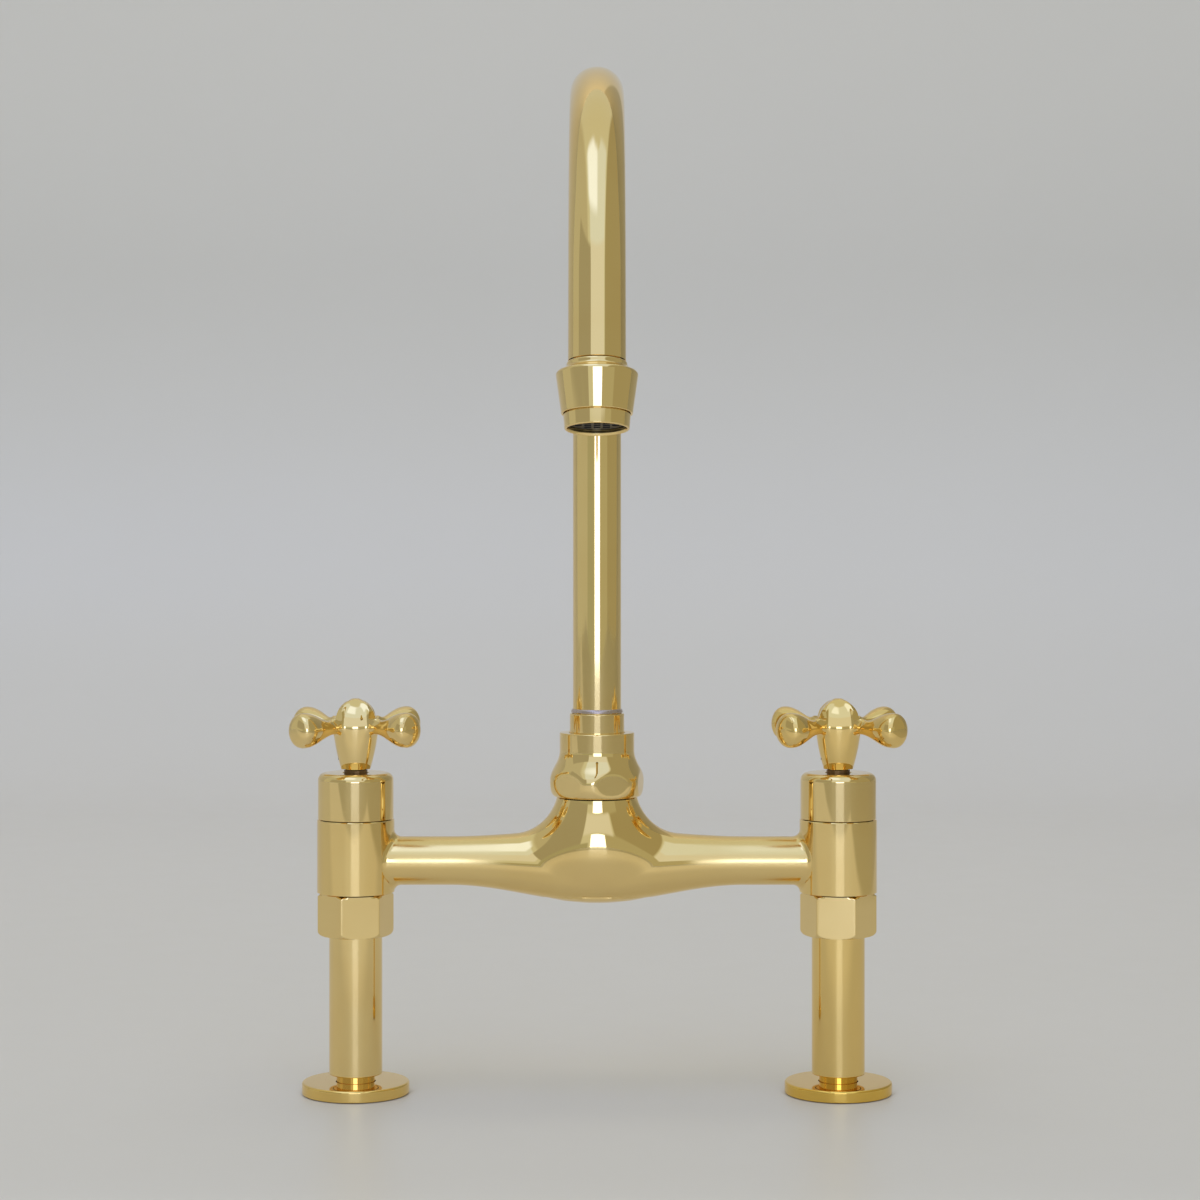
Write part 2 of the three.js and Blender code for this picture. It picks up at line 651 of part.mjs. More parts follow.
// One line on the handle's skin, at an angle round the arm that points along +X: from the
// arm's end to the waist, then over the crown or down to the hub's foot.
function handleLine(angle, upper) {
  const share = upper ? angle / (Math.PI / 2) : 2 - angle / (Math.PI / 2);
  const turn = share * (Math.PI / 4);
  const around = (along) => {
    const half = armHalfHeight(along);
    const across = KNOB_FLATNESS * half * Math.sin(angle);
    return new THREE.Vector3(along, across, half * Math.cos(angle));
  };
  const onKnob = [1, 0.97, 0.84, 0.58, 0].map((part) => lerp(KNOB_PLACE, HANDLE_REACH, part));
  const onArm = [0.22, 0.46, 0.7].map((part) => lerp(KNOB_PLACE, WAIST_PLACE, part));
  const line = [...onKnob, ...onArm].map(around);
  for (const place of line.slice(onKnob.length)) settle(place, handleGap);
  const root = line.at(-1);
  const lift = Math.sign(upper ? 1 : -1) * (1 - Math.abs(share)) * armHalfHeight(0);
  const elbow = new THREE.Vector3(
    (HUB_DIAMETER / 2) * Math.cos(turn), (HUB_DIAMETER / 2) * Math.sin(turn), lift,
  );
  for (const part of [0.35, 0.7, 1]) {
    line.push(settle(root.clone().lerp(elbow, part), handleGap));
  }
  if (upper) {
    for (const part of [0.75, 0.5, 0.25]) {
      const dome = (Math.PI / 2) * (1 - part);
      const out = (HUB_DIAMETER / 2) * Math.cos(dome);
      const up = lift + (CROWN_RISE - lift) * Math.sin(dome);
      const place = new THREE.Vector3(out * Math.cos(turn), out * Math.sin(turn), up);
      line.push(settle(place, handleGap));
    }
    line.push(settle(new THREE.Vector3(1e-3, 0, CROWN_RISE), handleGap).setX(0).setY(0));
    return line;
  }
  for (const part of [0.3, 0.65, 1]) {
    const up = lerp(lift, -HUB_DROP, part);
    const out = hubRadius(up);
    line.push(new THREE.Vector3(out * Math.cos(turn), out * Math.sin(turn), up));
  }
  line.push(new THREE.Vector3(0, 0, -HUB_DROP));
  return line;
}

function handleBlank() {
  const quarter = 3;
  const triangles = [];
  const upper = [];
  const lower = [];
  for (let j = 0; j <= quarter; j++) {
    upper.push(handleLine((Math.PI / 2) * (j / quarter), true));
    lower.push(handleLine((Math.PI / 2) * (1 + j / quarter), false));
  }
  const shared = 11;
  lower[0].splice(0, shared, ...upper.at(-1).slice(0, shared));
  const zAxis = new THREE.Vector3(0, 0, 1);
  for (let arm = 0; arm < 4; arm++) {
    for (const side of [-1, 1]) {
      const placed = (line) =>
        line.map((p) =>
          new THREE.Vector3(p.x, p.y * side, p.z).applyAxisAngle(zAxis, (arm * Math.PI) / 2),
        );
      skin(upper.map(placed), side < 0, triangles);
      skin(lower.map(placed), side < 0, triangles);
    }
  }
  return fromTriangles(triangles);
}

const hubSocketTop = SPLINE_TOP - HANDLE_AXIS_RISE + CLEARANCE + PAST;
const grubHeight = -HUB_DROP + GRUB_RISE;

// The grub screw's axis lies between two arms, square to the spindle.
const acrossHub = (geometry) =>
  geometry.rotateX(-Math.PI / 2).rotateZ(Math.PI / 4).translate(0, 0, grubHeight);

function crossHandle() {
  const socket = rod(SPLINE_DIAMETER / 2 + CLEARANCE, -HUB_DROP - PAST, hubSocketTop);
  const grubHole = acrossHub(
    rod(GRUB_DIAMETER / 2 + CLEARANCE, 0, HUB_DIAMETER, FACETS.fine),
  );
  return cut(handleBlank(), socket, grubHole);
}

function grubScrew() {
  const inner = SPLINE_DIAMETER / 2 + CLEARANCE;
  const outer = hubRadius(grubHeight) - CLEARANCE;
  const blank = rod(GRUB_DIAMETER / 2, inner, outer, FACETS.fine);
  const socket = prism(GRUB_SOCKET, 6, (inner + outer) / 2, outer + PAST);
  return acrossHub(cut(blank, socket));
}

// ---------------------------------------------------------------- union nut, leg and foot
function unionNut() {
  const corners = NUT_FLATS / 2 / Math.cos(Math.PI / 6);
  const foot = corner(
    corners - NUT_FOOT_RADIUS, nutFoot + NUT_FOOT_RADIUS, NUT_FOOT_RADIUS, -90, 0, 5,
  );
  const envelope = turned(
    [
      [0, nutFoot], ...foot, [corners, nutTop - NUT_CHAMFER],
      [corners - 1.6 * NUT_CHAMFER, nutTop], [0, nutTop],
    ],
    FACETS.wide,
  );
  const bore = rod(INLET_SPIGOT / 2 + CLEARANCE, nutFoot + NUT_LIP, nutTop + PAST, FACETS.tube);
  const hole = rod(LEG_DIAMETER / 2 + CLEARANCE, nutFoot - PAST, nutTop, FACETS.tube);
  return cut(common(prism(NUT_FLATS, 6, nutFoot, nutTop), envelope), bore, hole);
}

const legBore = LEG_DIAMETER / 2 - LEG_WALL;

const tailWasher = () =>
  ring(
    TAIL_WASHER_BORE / 2, INLET_SPIGOT / 2 - CLEARANCE, tailWasherTop - TAIL_WASHER, tailWasherTop,
  );

function legTube() {
  const [outer, collar] = [LEG_DIAMETER / 2, INLET_SPIGOT / 2];
  const collarFoot = legTop - LEG_COLLAR;
  return turned(
    [
      [legBore, legFoot], [outer, legFoot], [outer, collarFoot],
      [collar, collarFoot], [collar, legTop], [legBore, legTop],
    ],
    FACETS.tube,
  );
}

function footNipple() {
  const foot = deckLevel + CLEARANCE;
  const plug = legBore - CLEARANCE;
  return turned(
    [
      [INLET_THREAD / 2, foot],
      [NIPPLE_DIAMETER / 2, foot],
      [NIPPLE_DIAMETER / 2, legFoot],
      [plug, legFoot],
      [plug, legFoot + NIPPLE_PLUG],
      [INLET_BORE / 2, legFoot + NIPPLE_PLUG],
      [INLET_BORE / 2, foot + INLET_DEPTH],
      [INLET_THREAD / 2, foot + INLET_DEPTH],
    ],
    FACETS.small,
  );
}

function footFlange() {
  const [hole, rim] = [NIPPLE_DIAMETER / 2 + CLEARANCE, FOOT_DIAMETER / 2];
  return turned(
    [
      [hole, deckLevel], [rim, deckLevel], [rim, footTop - FOOT_CHAMFER],
      [rim - FOOT_CHAMFER, footTop], [hole, footTop],
    ],
    FACETS.wide,
  );
}

// ---------------------------------------------------------------- swivel joint
function bellNut() {
  const [neck, belly, foot] = [BELL_NECK_DIAMETER / 2, BELL_DIAMETER / 2, BELL_FOOT_DIAMETER / 2];
  const bellFoot = SADDLE_RISE + CLEARANCE;
  const flank = new THREE.SplineCurve([
    new THREE.Vector2(foot, bellFoot),
    new THREE.Vector2(lerp(foot, belly, 0.82), lerp(bellFoot, BELL_WIDEST, 0.4)),
    new THREE.Vector2(belly, BELL_WIDEST),
    new THREE.Vector2(lerp(neck, belly, 0.76), lerp(BELL_WIDEST, BELL_SHOULDER, 0.34)),
    new THREE.Vector2(lerp(neck, belly, 0.33), lerp(BELL_WIDEST, BELL_SHOULDER, 0.7)),
    new THREE.Vector2(lerp(neck, belly, 0.05), BELL_SHOULDER),
    new THREE.Vector2(neck, lerp(BELL_SHOULDER, BELL_TOP, 0.3)),
  ]);
  const outline = flank.getPoints(10).map((p) => [p.x, p.y]);
  const bore = SPOUT_SPIGOT / 2 + CLEARANCE;
  const hole = COLLAR_DIAMETER / 2 + CLEARANCE;
  const blank = turned(
    [
      [bore, bellFoot], ...outline, [neck, BELL_TOP - BELL_EDGE], [neck - BELL_EDGE, BELL_TOP],
      [hole, BELL_TOP], [hole, bellLip], [bore, bellLip],
    ],
    FACETS.wide,
  );
  const flats = Array.from({ length: 6 }, (_, i) =>
    block(belly, belly, belly, 0, -(BELL_FLATS + belly) / 2, BELL_WIDEST)
      .rotateZ(radians(BELL_FLAT_TURN + 60 * i)),
  );
  return cut(blank, ...flats);
}

const thrustWasher = () =>
  ring(
    SPOUT_SPIGOT / 2 - SPOUT_SPIGOT_WALL, COLLAR_FLANGE_DIAMETER / 2,
    washerFoot, washerFoot + THRUST_WASHER,
  );

const slipRing = () =>
  ring(
    COLLAR_DIAMETER / 2 + CLEARANCE, COLLAR_FLANGE_DIAMETER / 2,
    slipRingFoot, slipRingFoot + SLIP_RING,
  );

const plugRadius = SPOUT_SPIGOT / 2 - SPOUT_SPIGOT_WALL - CLEARANCE;
const plugFoot = collarFlangeFoot - COLLAR_PLUG_LENGTH;
const sealHeights = [1, 2].map((step) => plugFoot + step * SPOUT_SEAL_PITCH);

function spoutCollar() {
  const grooveHalf = SPOUT_SEAL_SECTION / 2 + CLEARANCE;
  const grooveFloor = plugRadius - SPOUT_SEAL_SECTION - CLEARANCE;
  const grooves = sealHeights.flatMap((height) => [
    [plugRadius, height - grooveHalf], [grooveFloor, height - grooveHalf],
    [grooveFloor, height + grooveHalf], [plugRadius, height + grooveHalf],
  ]);
  const [barrel, flange] = [COLLAR_DIAMETER / 2, COLLAR_FLANGE_DIAMETER / 2];
  const socket = SPOUT_DIAMETER / 2 + CLEARANCE;
  return turned([
    [COLLAR_BORE / 2, plugFoot], [plugRadius, plugFoot], ...grooves,
    [plugRadius, collarFlangeFoot], [flange, collarFlangeFoot],
    [flange, collarFlangeFoot + COLLAR_FLANGE], [barrel, collarFlangeFoot + COLLAR_FLANGE],
    [barrel, COLLAR_TOP], [socket, COLLAR_TOP], [socket, tubeFoot - CLEARANCE],
    [COLLAR_BORE / 2, tubeFoot - CLEARANCE],
  ], FACETS.tube);
}

function brazeRing() {
  const inner = SPOUT_DIAMETER / 2 + CLEARANCE;
  const [foot, outer] = [COLLAR_TOP + CLEARANCE, COLLAR_DIAMETER / 2];
  const [top, topOuter] = [foot + BRAZE_HEIGHT, lerp(inner, outer, 0.4)];
  return turned([[inner, foot], [outer, foot], [topOuter, top], [inner, top]], FACETS.tube);
}

// ---------------------------------------------------------------- spout
const archCentre = APEX_RISE - ARCH_RADIUS;
const sweep = radians(ARCH_SWEEP);
const spoutTilt = Math.PI - sweep;

// The centre line: a riser, an arch and a short arm. It counts in steps, not in length, so
// that the straight runs take one step each.
class SpoutLine extends THREE.Curve {
  getUtoTmapping(share) {
    return share;
  }
  getPoint(share) {
    const step = share * (ARCH_STEPS + 2);
    if (step < 1) return new THREE.Vector3(0, 0, lerp(tubeFoot, archCentre, step));
    const turn = sweep * Math.min((step - 1) / ARCH_STEPS, 1);
    const place = new THREE.Vector3(
      0, ARCH_RADIUS * (Math.cos(turn) - 1), archCentre + ARCH_RADIUS * Math.sin(turn),
    );
    const past = Math.max(step - 1 - ARCH_STEPS, 0) * SPOUT_ARM;
    place.y -= past * Math.sin(sweep);
    place.z += past * Math.cos(sweep);
    return place;
  }
}
const spoutLine = new SpoutLine();
const spoutEnd = spoutLine.getPoint(1);

function spoutTube() {
  const section = new THREE.Shape().absarc(0, 0, SPOUT_DIAMETER / 2, 0, circle);
  section.holes.push(new THREE.Path().absarc(0, 0, SPOUT_DIAMETER / 2 - SPOUT_WALL, 0, circle));
  return new THREE.ExtrudeGeometry(section, {
    extrudePath: spoutLine,
    steps: ARCH_STEPS + 2,
    curveSegments: FACETS.tube / 2,
  });
}

// ---------------------------------------------------------------- nozzle and aerator
const threadRadius = NOZZLE_THREAD / 2;
const aeratorTop = -NOZZLE_LENGTH + NOZZLE_THREAD_DEPTH - AERATOR_WASHER - 2 * CLEARANCE;
const aeratorShoulder = -NOZZLE_LENGTH - CLEARANCE;
const aeratorFoot = aeratorShoulder - AERATOR_SHOW;

function nozzleCone() {
  const tail = SPOUT_DIAMETER / 2 - SPOUT_WALL - CLEARANCE;
  const bore = tail - NOZZLE_TAIL_WALL;
  const [bead, widest] = [NOZZLE_BEAD / 2, NOZZLE_DIAMETER / 2];
  const [beadTop, neck] = [-CLEARANCE, -NOZZLE_BEAD_LENGTH];
  const round = NOZZLE_SHOULDER_RADIUS;
  const shoulder = corner(widest - round, -NOZZLE_SHOULDER, round, 90, 0, 3);
  const threadTop = -NOZZLE_LENGTH + NOZZLE_THREAD_DEPTH;
  return turned(
    [
      [bore, NOZZLE_TAIL], [tail, NOZZLE_TAIL], [tail, beadTop], [bead - NOZZLE_BEAD_EDGE, beadTop],
      [bead, (beadTop + neck) / 2], [bead - NOZZLE_BEAD_EDGE, neck],
      [lerp(bead, widest, 0.45), lerp(neck, round - NOZZLE_SHOULDER, 0.5)],
      ...shoulder, [NOZZLE_MOUTH_DIAMETER / 2, -NOZZLE_LENGTH],
      [threadRadius + CLEARANCE, -NOZZLE_LENGTH], [threadRadius + CLEARANCE, threadTop],
      [bore, threadTop],
    ],
    FACETS.wide,
  );
}

const aeratorBore = INSERT_DIAMETER / 2 + CLEARANCE;
const insertFoot = aeratorFoot + AERATOR_LIP + CLEARANCE;

function aeratorRing() {
  const [outer, mouth] = [AERATOR_DIAMETER / 2, AERATOR_MOUTH / 2];
  const edge = corner(
    (outer + mouth) / 2 - AERATOR_EDGE / 2, aeratorFoot + AERATOR_EDGE, AERATOR_EDGE, -90, 0, 3,
  );
  const lip = aeratorBore - AERATOR_LIP_WIDTH;
  return turned(
    [
      [mouth, aeratorFoot], ...edge, [outer, aeratorShoulder], [threadRadius, aeratorShoulder],
      [threadRadius, aeratorTop], [aeratorBore, aeratorTop], [aeratorBore, insertFoot - CLEARANCE],
      [lip, insertFoot - CLEARANCE], [lip, aeratorFoot + AERATOR_LIP / 2],
    ],
    FACETS.tube,
  );
}

const aeratorWasher = () =>
  ring(
    aeratorBore - AERATOR_WASHER_OVERLAP, threadRadius, aeratorTop + CLEARANCE,
    aeratorTop + CLEARANCE + AERATOR_WASHER,
  );

// Holes on a square or a staggered pitch, within a radius.
function holePlaces(pitch, reach, staggered) {
  const count = Math.ceil(reach / pitch);
  const places = [];
  const rowPitch = staggered ? pitch * Math.sin(Math.PI / 3) : pitch;
  for (let row = -count - 1; row <= count + 1; row++) {
    const shift = staggered && row % 2 ? pitch / 2 : 0;
    for (let column = -count; column <= count; column++) {
      const place = new THREE.Vector2(column * pitch + shift, row * rowPitch);
      if (place.length() <= reach) places.push(place);
    }
  }
  return places;
}

function aeratorInsert() {
  const radius = INSERT_DIAMETER / 2;
  const side = GRILLE_PITCH - GRILLE_BAR;
  const places = holePlaces(GRILLE_PITCH, radius - INSERT_WALL - side / Math.SQRT2, false);
  const holes = places.map(({ x, y }) =>
    block(side, side, INSERT_GRILLE + 2 * PAST, x, y, insertFoot + INSERT_GRILLE / 2),
  );
  const screenFoot = aeratorTop - SCREEN_THICKNESS - CLEARANCE;
  const wall = ring(radius - INSERT_WALL, radius, insertFoot + INSERT_GRILLE / 2, screenFoot);
  const plate = cut(rod(radius, insertFoot, insertFoot + INSERT_GRILLE), ...holes);
  return join(plate, wall);
}

function aeratorScreen() {
  const radius = INSERT_DIAMETER / 2;
  const [low, high] = [aeratorTop - SCREEN_THICKNESS, aeratorTop];
  const places = holePlaces(SCREEN_PITCH, radius - INSERT_WALL - SCREEN_HOLE / 2, true);
  const holes = places.map(({ x, y }) =>
    prism(SCREEN_HOLE, 6, low - PAST, high + PAST).translate(x, y, 0),
  );
  return cut(rod(radius, low, high), ...holes);
}

// ---------------------------------------------------------------- assembly
function piece(parent, name, geometry, material) {
  const mesh = new THREE.Mesh(geometry, material);
  mesh.name = name;
  parent.add(mesh);
  return mesh;
}

function group(parent, x, y, z) {
  const holder = new THREE.Group();
  holder.position.set(x, y, z);
  parent.add(holder);
  return holder;
}

const tap = new THREE.Group();
const bridge = group(tap, 0, 0, BRIDGE_HEIGHT);
piece(bridge, "bridge_body", bridgeBody(), polishedBrass);

for (const [side, x] of Object.entries({ left: -legX, right: legX })) {
  const valve = group(bridge, x, 0, 0);
  piece(valve, `union_nut_${side}`, unionNut(), polishedBrass).rotation.z = radians(NUT_TURN[side]);
  piece(valve, `tail_washer_${side}`, tailWasher(), blackRubber);
  piece(valve, `leg_tube_${side}`, legTube(), polishedBrass);
  piece(valve, `foot_nipple_${side}`, footNipple(), cutBrass);
  piece(valve, `foot_flange_${side}`, footFlange(), polishedBrass);
  piece(valve, `valve_cap_${side}`, valveCap(), polishedBrass);
  piece(valve, `cartridge_body_${side}`, cartridgeBody(), cutBrass);
  piece(
    valve, `cartridge_o_ring_${side}`,
    oRing(cartridgeRadius - BODY_SEAL_SECTION, BODY_SEAL_SECTION, BODY_SEAL_HEIGHT), blackRubber,
  );
  piece(valve, `seat_seal_${side}`, seatSeal(), blackRubber);
  piece(valve, `fixed_disc_${side}`, ceramicDisc(discFoot), ceramic);
  const slot = [TONGUE_WIDTH + 2 * CLEARANCE, TONGUE_DEPTH + CLEARANCE];
  piece(
    valve, `moving_disc_${side}`, ceramicDisc(movingDiscFoot, ...slot), ceramic,
  ).rotation.z = Math.PI / 2;
  piece(valve, `spindle_${side}`, spindle(), cutBrass).rotation.z = Math.PI / 2;
  piece(
    valve, `spindle_o_ring_${side}`,
    oRing(SPINDLE_DIAMETER / 2 - SPINDLE_SEAL_SECTION, SPINDLE_SEAL_SECTION, SPINDLE_SEAL_HEIGHT),
    blackRubber,
  );
  piece(valve, `spindle_circlip_${side}`, circlip(), steel);
  const knob = group(valve, 0, 0, HANDLE_AXIS_RISE);
  knob.rotation.z = radians(HANDLE_TURN[side]);
  piece(knob, `cross_handle_${side}`, crossHandle(), polishedBrass);
  piece(knob, `grub_screw_${side}`, grubScrew(), steel);
}

piece(bridge, "spout_nut", bellNut(), polishedBrass);
piece(bridge, "thrust_washer", thrustWasher(), whiteAcetal);
piece(bridge, "slip_ring", slipRing(), whiteAcetal);
piece(bridge, "spout_collar", spoutCollar(), polishedBrass);
sealHeights.forEach((height, i) =>
  piece(
    bridge, `spout_o_ring_${["lower", "upper"][i]}`,
    oRing(plugRadius - SPOUT_SEAL_SECTION, SPOUT_SEAL_SECTION, height), blackRubber,
  ),
);
piece(bridge, "braze_ring", brazeRing(), braze);
piece(bridge, "spout_tube", spoutTube(), polishedBrass);

const nozzle = group(bridge, spoutEnd.x, spoutEnd.y, spoutEnd.z);
nozzle.rotation.x = -spoutTilt;
piece(nozzle, "nozzle_cone", nozzleCone(), polishedBrass);
piece(nozzle, "aerator_ring", aeratorRing(), polishedBrass);
piece(nozzle, "aerator_washer", aeratorWasher(), blackRubber);
piece(nozzle, "aerator_insert", aeratorInsert(), blackPlastic);
piece(nozzle, "aerator_screen", aeratorScreen(), steel);

export default tap;
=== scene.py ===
import json
import math

import bpy
import numpy as np
from bpy.props import FloatProperty, FloatVectorProperty, IntProperty, PointerProperty
from mathutils import Matrix, Vector


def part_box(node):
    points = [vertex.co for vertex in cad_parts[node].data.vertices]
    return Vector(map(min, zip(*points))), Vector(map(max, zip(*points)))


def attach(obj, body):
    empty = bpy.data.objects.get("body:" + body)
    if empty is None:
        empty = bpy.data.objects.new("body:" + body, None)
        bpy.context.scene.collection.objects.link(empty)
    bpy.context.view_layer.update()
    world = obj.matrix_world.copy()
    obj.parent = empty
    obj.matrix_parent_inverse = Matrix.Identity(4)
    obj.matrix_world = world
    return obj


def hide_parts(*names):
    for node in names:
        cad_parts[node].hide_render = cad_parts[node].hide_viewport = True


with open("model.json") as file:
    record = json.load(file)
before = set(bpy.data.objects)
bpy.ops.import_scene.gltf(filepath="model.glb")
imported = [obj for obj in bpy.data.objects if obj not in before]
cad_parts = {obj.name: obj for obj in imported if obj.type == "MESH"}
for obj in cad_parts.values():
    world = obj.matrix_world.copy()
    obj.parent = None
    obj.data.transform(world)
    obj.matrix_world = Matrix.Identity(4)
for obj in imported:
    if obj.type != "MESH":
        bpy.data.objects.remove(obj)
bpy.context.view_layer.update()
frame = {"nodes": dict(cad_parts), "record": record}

bl_info = {
    "name": "Bridge kitchen tap",
    "version": (1, 0, 0),
    "blender": (4, 5, 0),
    "location": "3D View > Sidebar > Tap",
    "description": "Dresses the packed model of a polished brass bridge tap",
    "category": "Object",
}

MM = 0.001


# ------------------------------------------------------------------ places, from the frame
class Extent:
    """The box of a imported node: its ends, its middle and its half widths."""

    def __init__(self, node):
        low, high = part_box(node)
        self.low = Vector(low)
        self.high = Vector(high)
        self.middle = (self.low + self.high) / 2
        self.half = (self.high - self.low) / 2


CAP = Extent("valve_cap_left")
LEG = Extent("leg_tube_left")
FLANGE = Extent("foot_flange_left")
NIPPLE = Extent("foot_nipple_left")
UNION_NUT = Extent("union_nut_left")
BRIDGE = Extent("bridge_body")
SPOUT_NUT = Extent("spout_nut")
COLLAR = Extent("spout_collar")
BRAZE = Extent("braze_ring")
SPOUT = Extent("spout_tube")
SLIP_RING = Extent("slip_ring")

GAP = 0.3 * MM  # between fitted pieces, as in the frame
LEG_X = LEG.middle.x
LEG_PLACES = {"left": LEG_X, "right": -LEG_X}
PILLAR_TOP = CAP.low.z - GAP
PILLAR_RADIUS = BRIDGE.half.x - abs(LEG_X)
PILLAR_FOOT = UNION_NUT.high.z + GAP
SADDLE_TOP = SPOUT_NUT.low.z - GAP
BEYOND = 3 * MM  # what a roughed-out piece has past the faces that are cut later


def millimetres(name, words, value):
    """A length that a user may change, kept in metres."""
    return FloatProperty(name=name, description=words, default=value * MM, unit="LENGTH", precision=5)


def degrees(name, words, value):
    return FloatProperty(name=name, description=words, default=math.radians(value), subtype="ANGLE")


def number(name, words, value):
    return FloatProperty(name=name, description=words, default=value)


def colour(name, words, value):
    return FloatVectorProperty(
        name=name, description=words, default=value, subtype="COLOR", size=3, min=0, max=1)


# ------------------------------------------------------------------ what a user may change
class BridgeSizes(bpy.types.PropertyGroup):
    axis: millimetres("Axis height", "Height of the bridge's axis above the deck", 96)
    arm: millimetres("Arm radius", "Radius of the bridge's arms", 10)
    saddle: millimetres("Saddle radius", "Radius of the upright neck", 17.5)
    fillet: millimetres("Saddle fillet", "Softness of the join between the neck and the arms", 20)
    fade: millimetres("Saddle fade", "Height over which the neck fades into the bridge", 10)
    reach: millimetres("Swell reach", "Distance from the middle at which the arms start to swell", 61)
    rise: millimetres("Swell", "How much wider the bridge's radius is at the middle", 5.2)
    sag: millimetres("Sag", "How far the bridge's centre line sinks at the middle", 2)
    pillar_fillet: millimetres("Pillar fillet", "Fillet between an arm and its pillar", 3)
    voxel: millimetres("Grain", "Size of the voxels that the casting is roughed out in", 0.8)


class HandleSizes(bpy.types.PropertyGroup):
    axis: millimetres("Arm height", "Height of the arms' axis above the deck", 96 + 55.4)
    reach: millimetres("Reach", "Hub axis to the end of an arm", 33.9)
    foot: millimetres("Hub foot", "Radius of the hub's foot", 6)
    hub: millimetres("Hub", "Radius of the hub under the arms", 9.3)
    drop: millimetres("Hub drop", "Foot of the hub below the arms' axis", 17.5)
    crown: millimetres("Crown", "Radius of the crown", 9)
    rise: millimetres("Crown rise", "Top of the crown above the arms' axis", 10.8)
    waist: millimetres("Waist", "Half the height of an arm at its thinnest", 2.4)
    waist_place: millimetres("Waist place", "Where an arm starts to widen", 12)
    knob: millimetres("Knob", "Half the height of a knob", 7.15)
    knob_place: millimetres("Knob place", "Where a knob is widest", 29.2)
    flatness: number("Flatness", "Width of an arm over its height", 0.92)
    ridge_reach: millimetres("Ridge reach", "Along an arm, of the ridge that climbs the crown", 11.4)
    ridge_bell: number("Ridge bell", "How full the ridge's bell curve is", 3.5)
    melt: millimetres("Melt", "Softness of the joins between hub and arms", 0.9)
    left_turn: degrees("Left turn", "Turn of the left handle's arms", 49)
    right_turn: degrees("Right turn", "Turn of the right handle's arms", 44)
    voxel: millimetres("Grain", "Size of the voxels that a handle is roughed out in", 0.55)


class NutSizes(bpy.types.PropertyGroup):
    union_flats: millimetres("Union flats", "Across the flats of a union nut", 27.5)
    union_foot: millimetres("Union foot radius", "Rounding of a union nut's lower edge", 4.5)
    union_left: degrees("Left nut turn", "Turn of the left union nut", 12.5)
    union_right: degrees("Right nut turn", "Turn of the right union nut", -8.7)
    bell_flats: millimetres("Bell flats", "Across the flats of the spout nut", 36.8)
    bell_turn: degrees("Bell turn", "First flat of the spout nut, from the front", 19.5)
    bell_neck: millimetres("Bell neck", "Radius of the spout nut's neck", 15.5)
    bell_belly: millimetres("Bell belly", "Greatest radius of the spout nut", 20)
    bell_foot: millimetres("Bell foot", "Radius of the spout nut's foot", 17.1)


class SpoutSizes(bpy.types.PropertyGroup):
    radius: millimetres("Tube radius", "Radius of the spout tube", 10)
    wall: millimetres("Tube wall", "Thickness of the spout tube", 1)
    arch: millimetres("Arch radius", "Radius of the arch's centre line", 92)
    sweep: degrees("Sweep", "How far the arch turns", 170)
    arm: millimetres("Arm", "Straight length after the arch", 31)


class Finishes(bpy.types.PropertyGroup):
    brass: colour("Brass", "Polished brass", (0.90, 0.68, 0.30))
    warm: colour("Warm brass", "Where the polish is thin", (0.80, 0.53, 0.18))
    # Painted shade: a darker, warmer gold for the feet, the right side and, a little, the casting.
    painted_shade_gold: colour("Deep brass", "The darker gold of the feet", (0.86, 0.55, 0.10))
    cut: colour("Machined brass", "Unpolished brass", (0.60, 0.42, 0.18))
    # Painted shade: the dark brown of the spindles, which stand in shade; it is also the stain colour of
    # machined brass.
    stain_and_spindle_shade: colour("Stem", "Darkened brass of the spindles", (0.16, 0.095, 0.04))
    braze: colour("Braze", "Grey braze metal", (0.60, 0.50, 0.46))
    steel: colour("Steel", "Stainless steel", (0.56, 0.56, 0.57))
    rubber: colour("Rubber", "Black rubber", (0.02, 0.02, 0.02))
    plastic: colour("Plastic", "Black plastic", (0.02, 0.022, 0.025))
    acetal: colour("Acetal", "White low-friction plastic", (0.80, 0.78, 0.74))
    ceramic: colour("Ceramic", "Alumina", (0.86, 0.85, 0.82))


class StageSettings(bpy.types.PropertyGroup):
    floor: colour("Floor", "Floor and backdrop round the tap", (0.655, 0.63, 0.57))
    # Painted shade: a darker, warmer grey for the floor and backdrop outside the picture.
    painted_shade_beyond: colour("Beyond", "Floor and backdrop outside the picture", (0.50, 0.47, 0.38))
    segments: IntProperty(name="Segments", description="Steps round a turned piece", default=128, min=24)


# ------------------------------------------------------------------ modelling, as by hand
def deselect():
    if bpy.context.object and bpy.context.object.mode != "OBJECT":
        bpy.ops.object.mode_set(mode="OBJECT")
    bpy.ops.object.select_all(action="DESELECT")


def choose(obj):
    deselect()
    obj.select_set(True)
    bpy.context.view_layer.objects.active = obj


def named(name):
    obj = bpy.context.object
    obj.name = name
    obj.data.name = name
    return obj


def apply_modifier(obj, kind, **settings):
    choose(obj)
    modifier = obj.modifiers.new(kind.lower(), kind)
    for key, value in settings.items():
        setattr(modifier, key, value)
    bpy.ops.object.modifier_apply(modifier=modifier.name)


def settle_place(obj):
    """Puts the object's place into its mesh."""
    choose(obj)
    bpy.ops.object.transform_apply(location=True, rotation=True, scale=True)


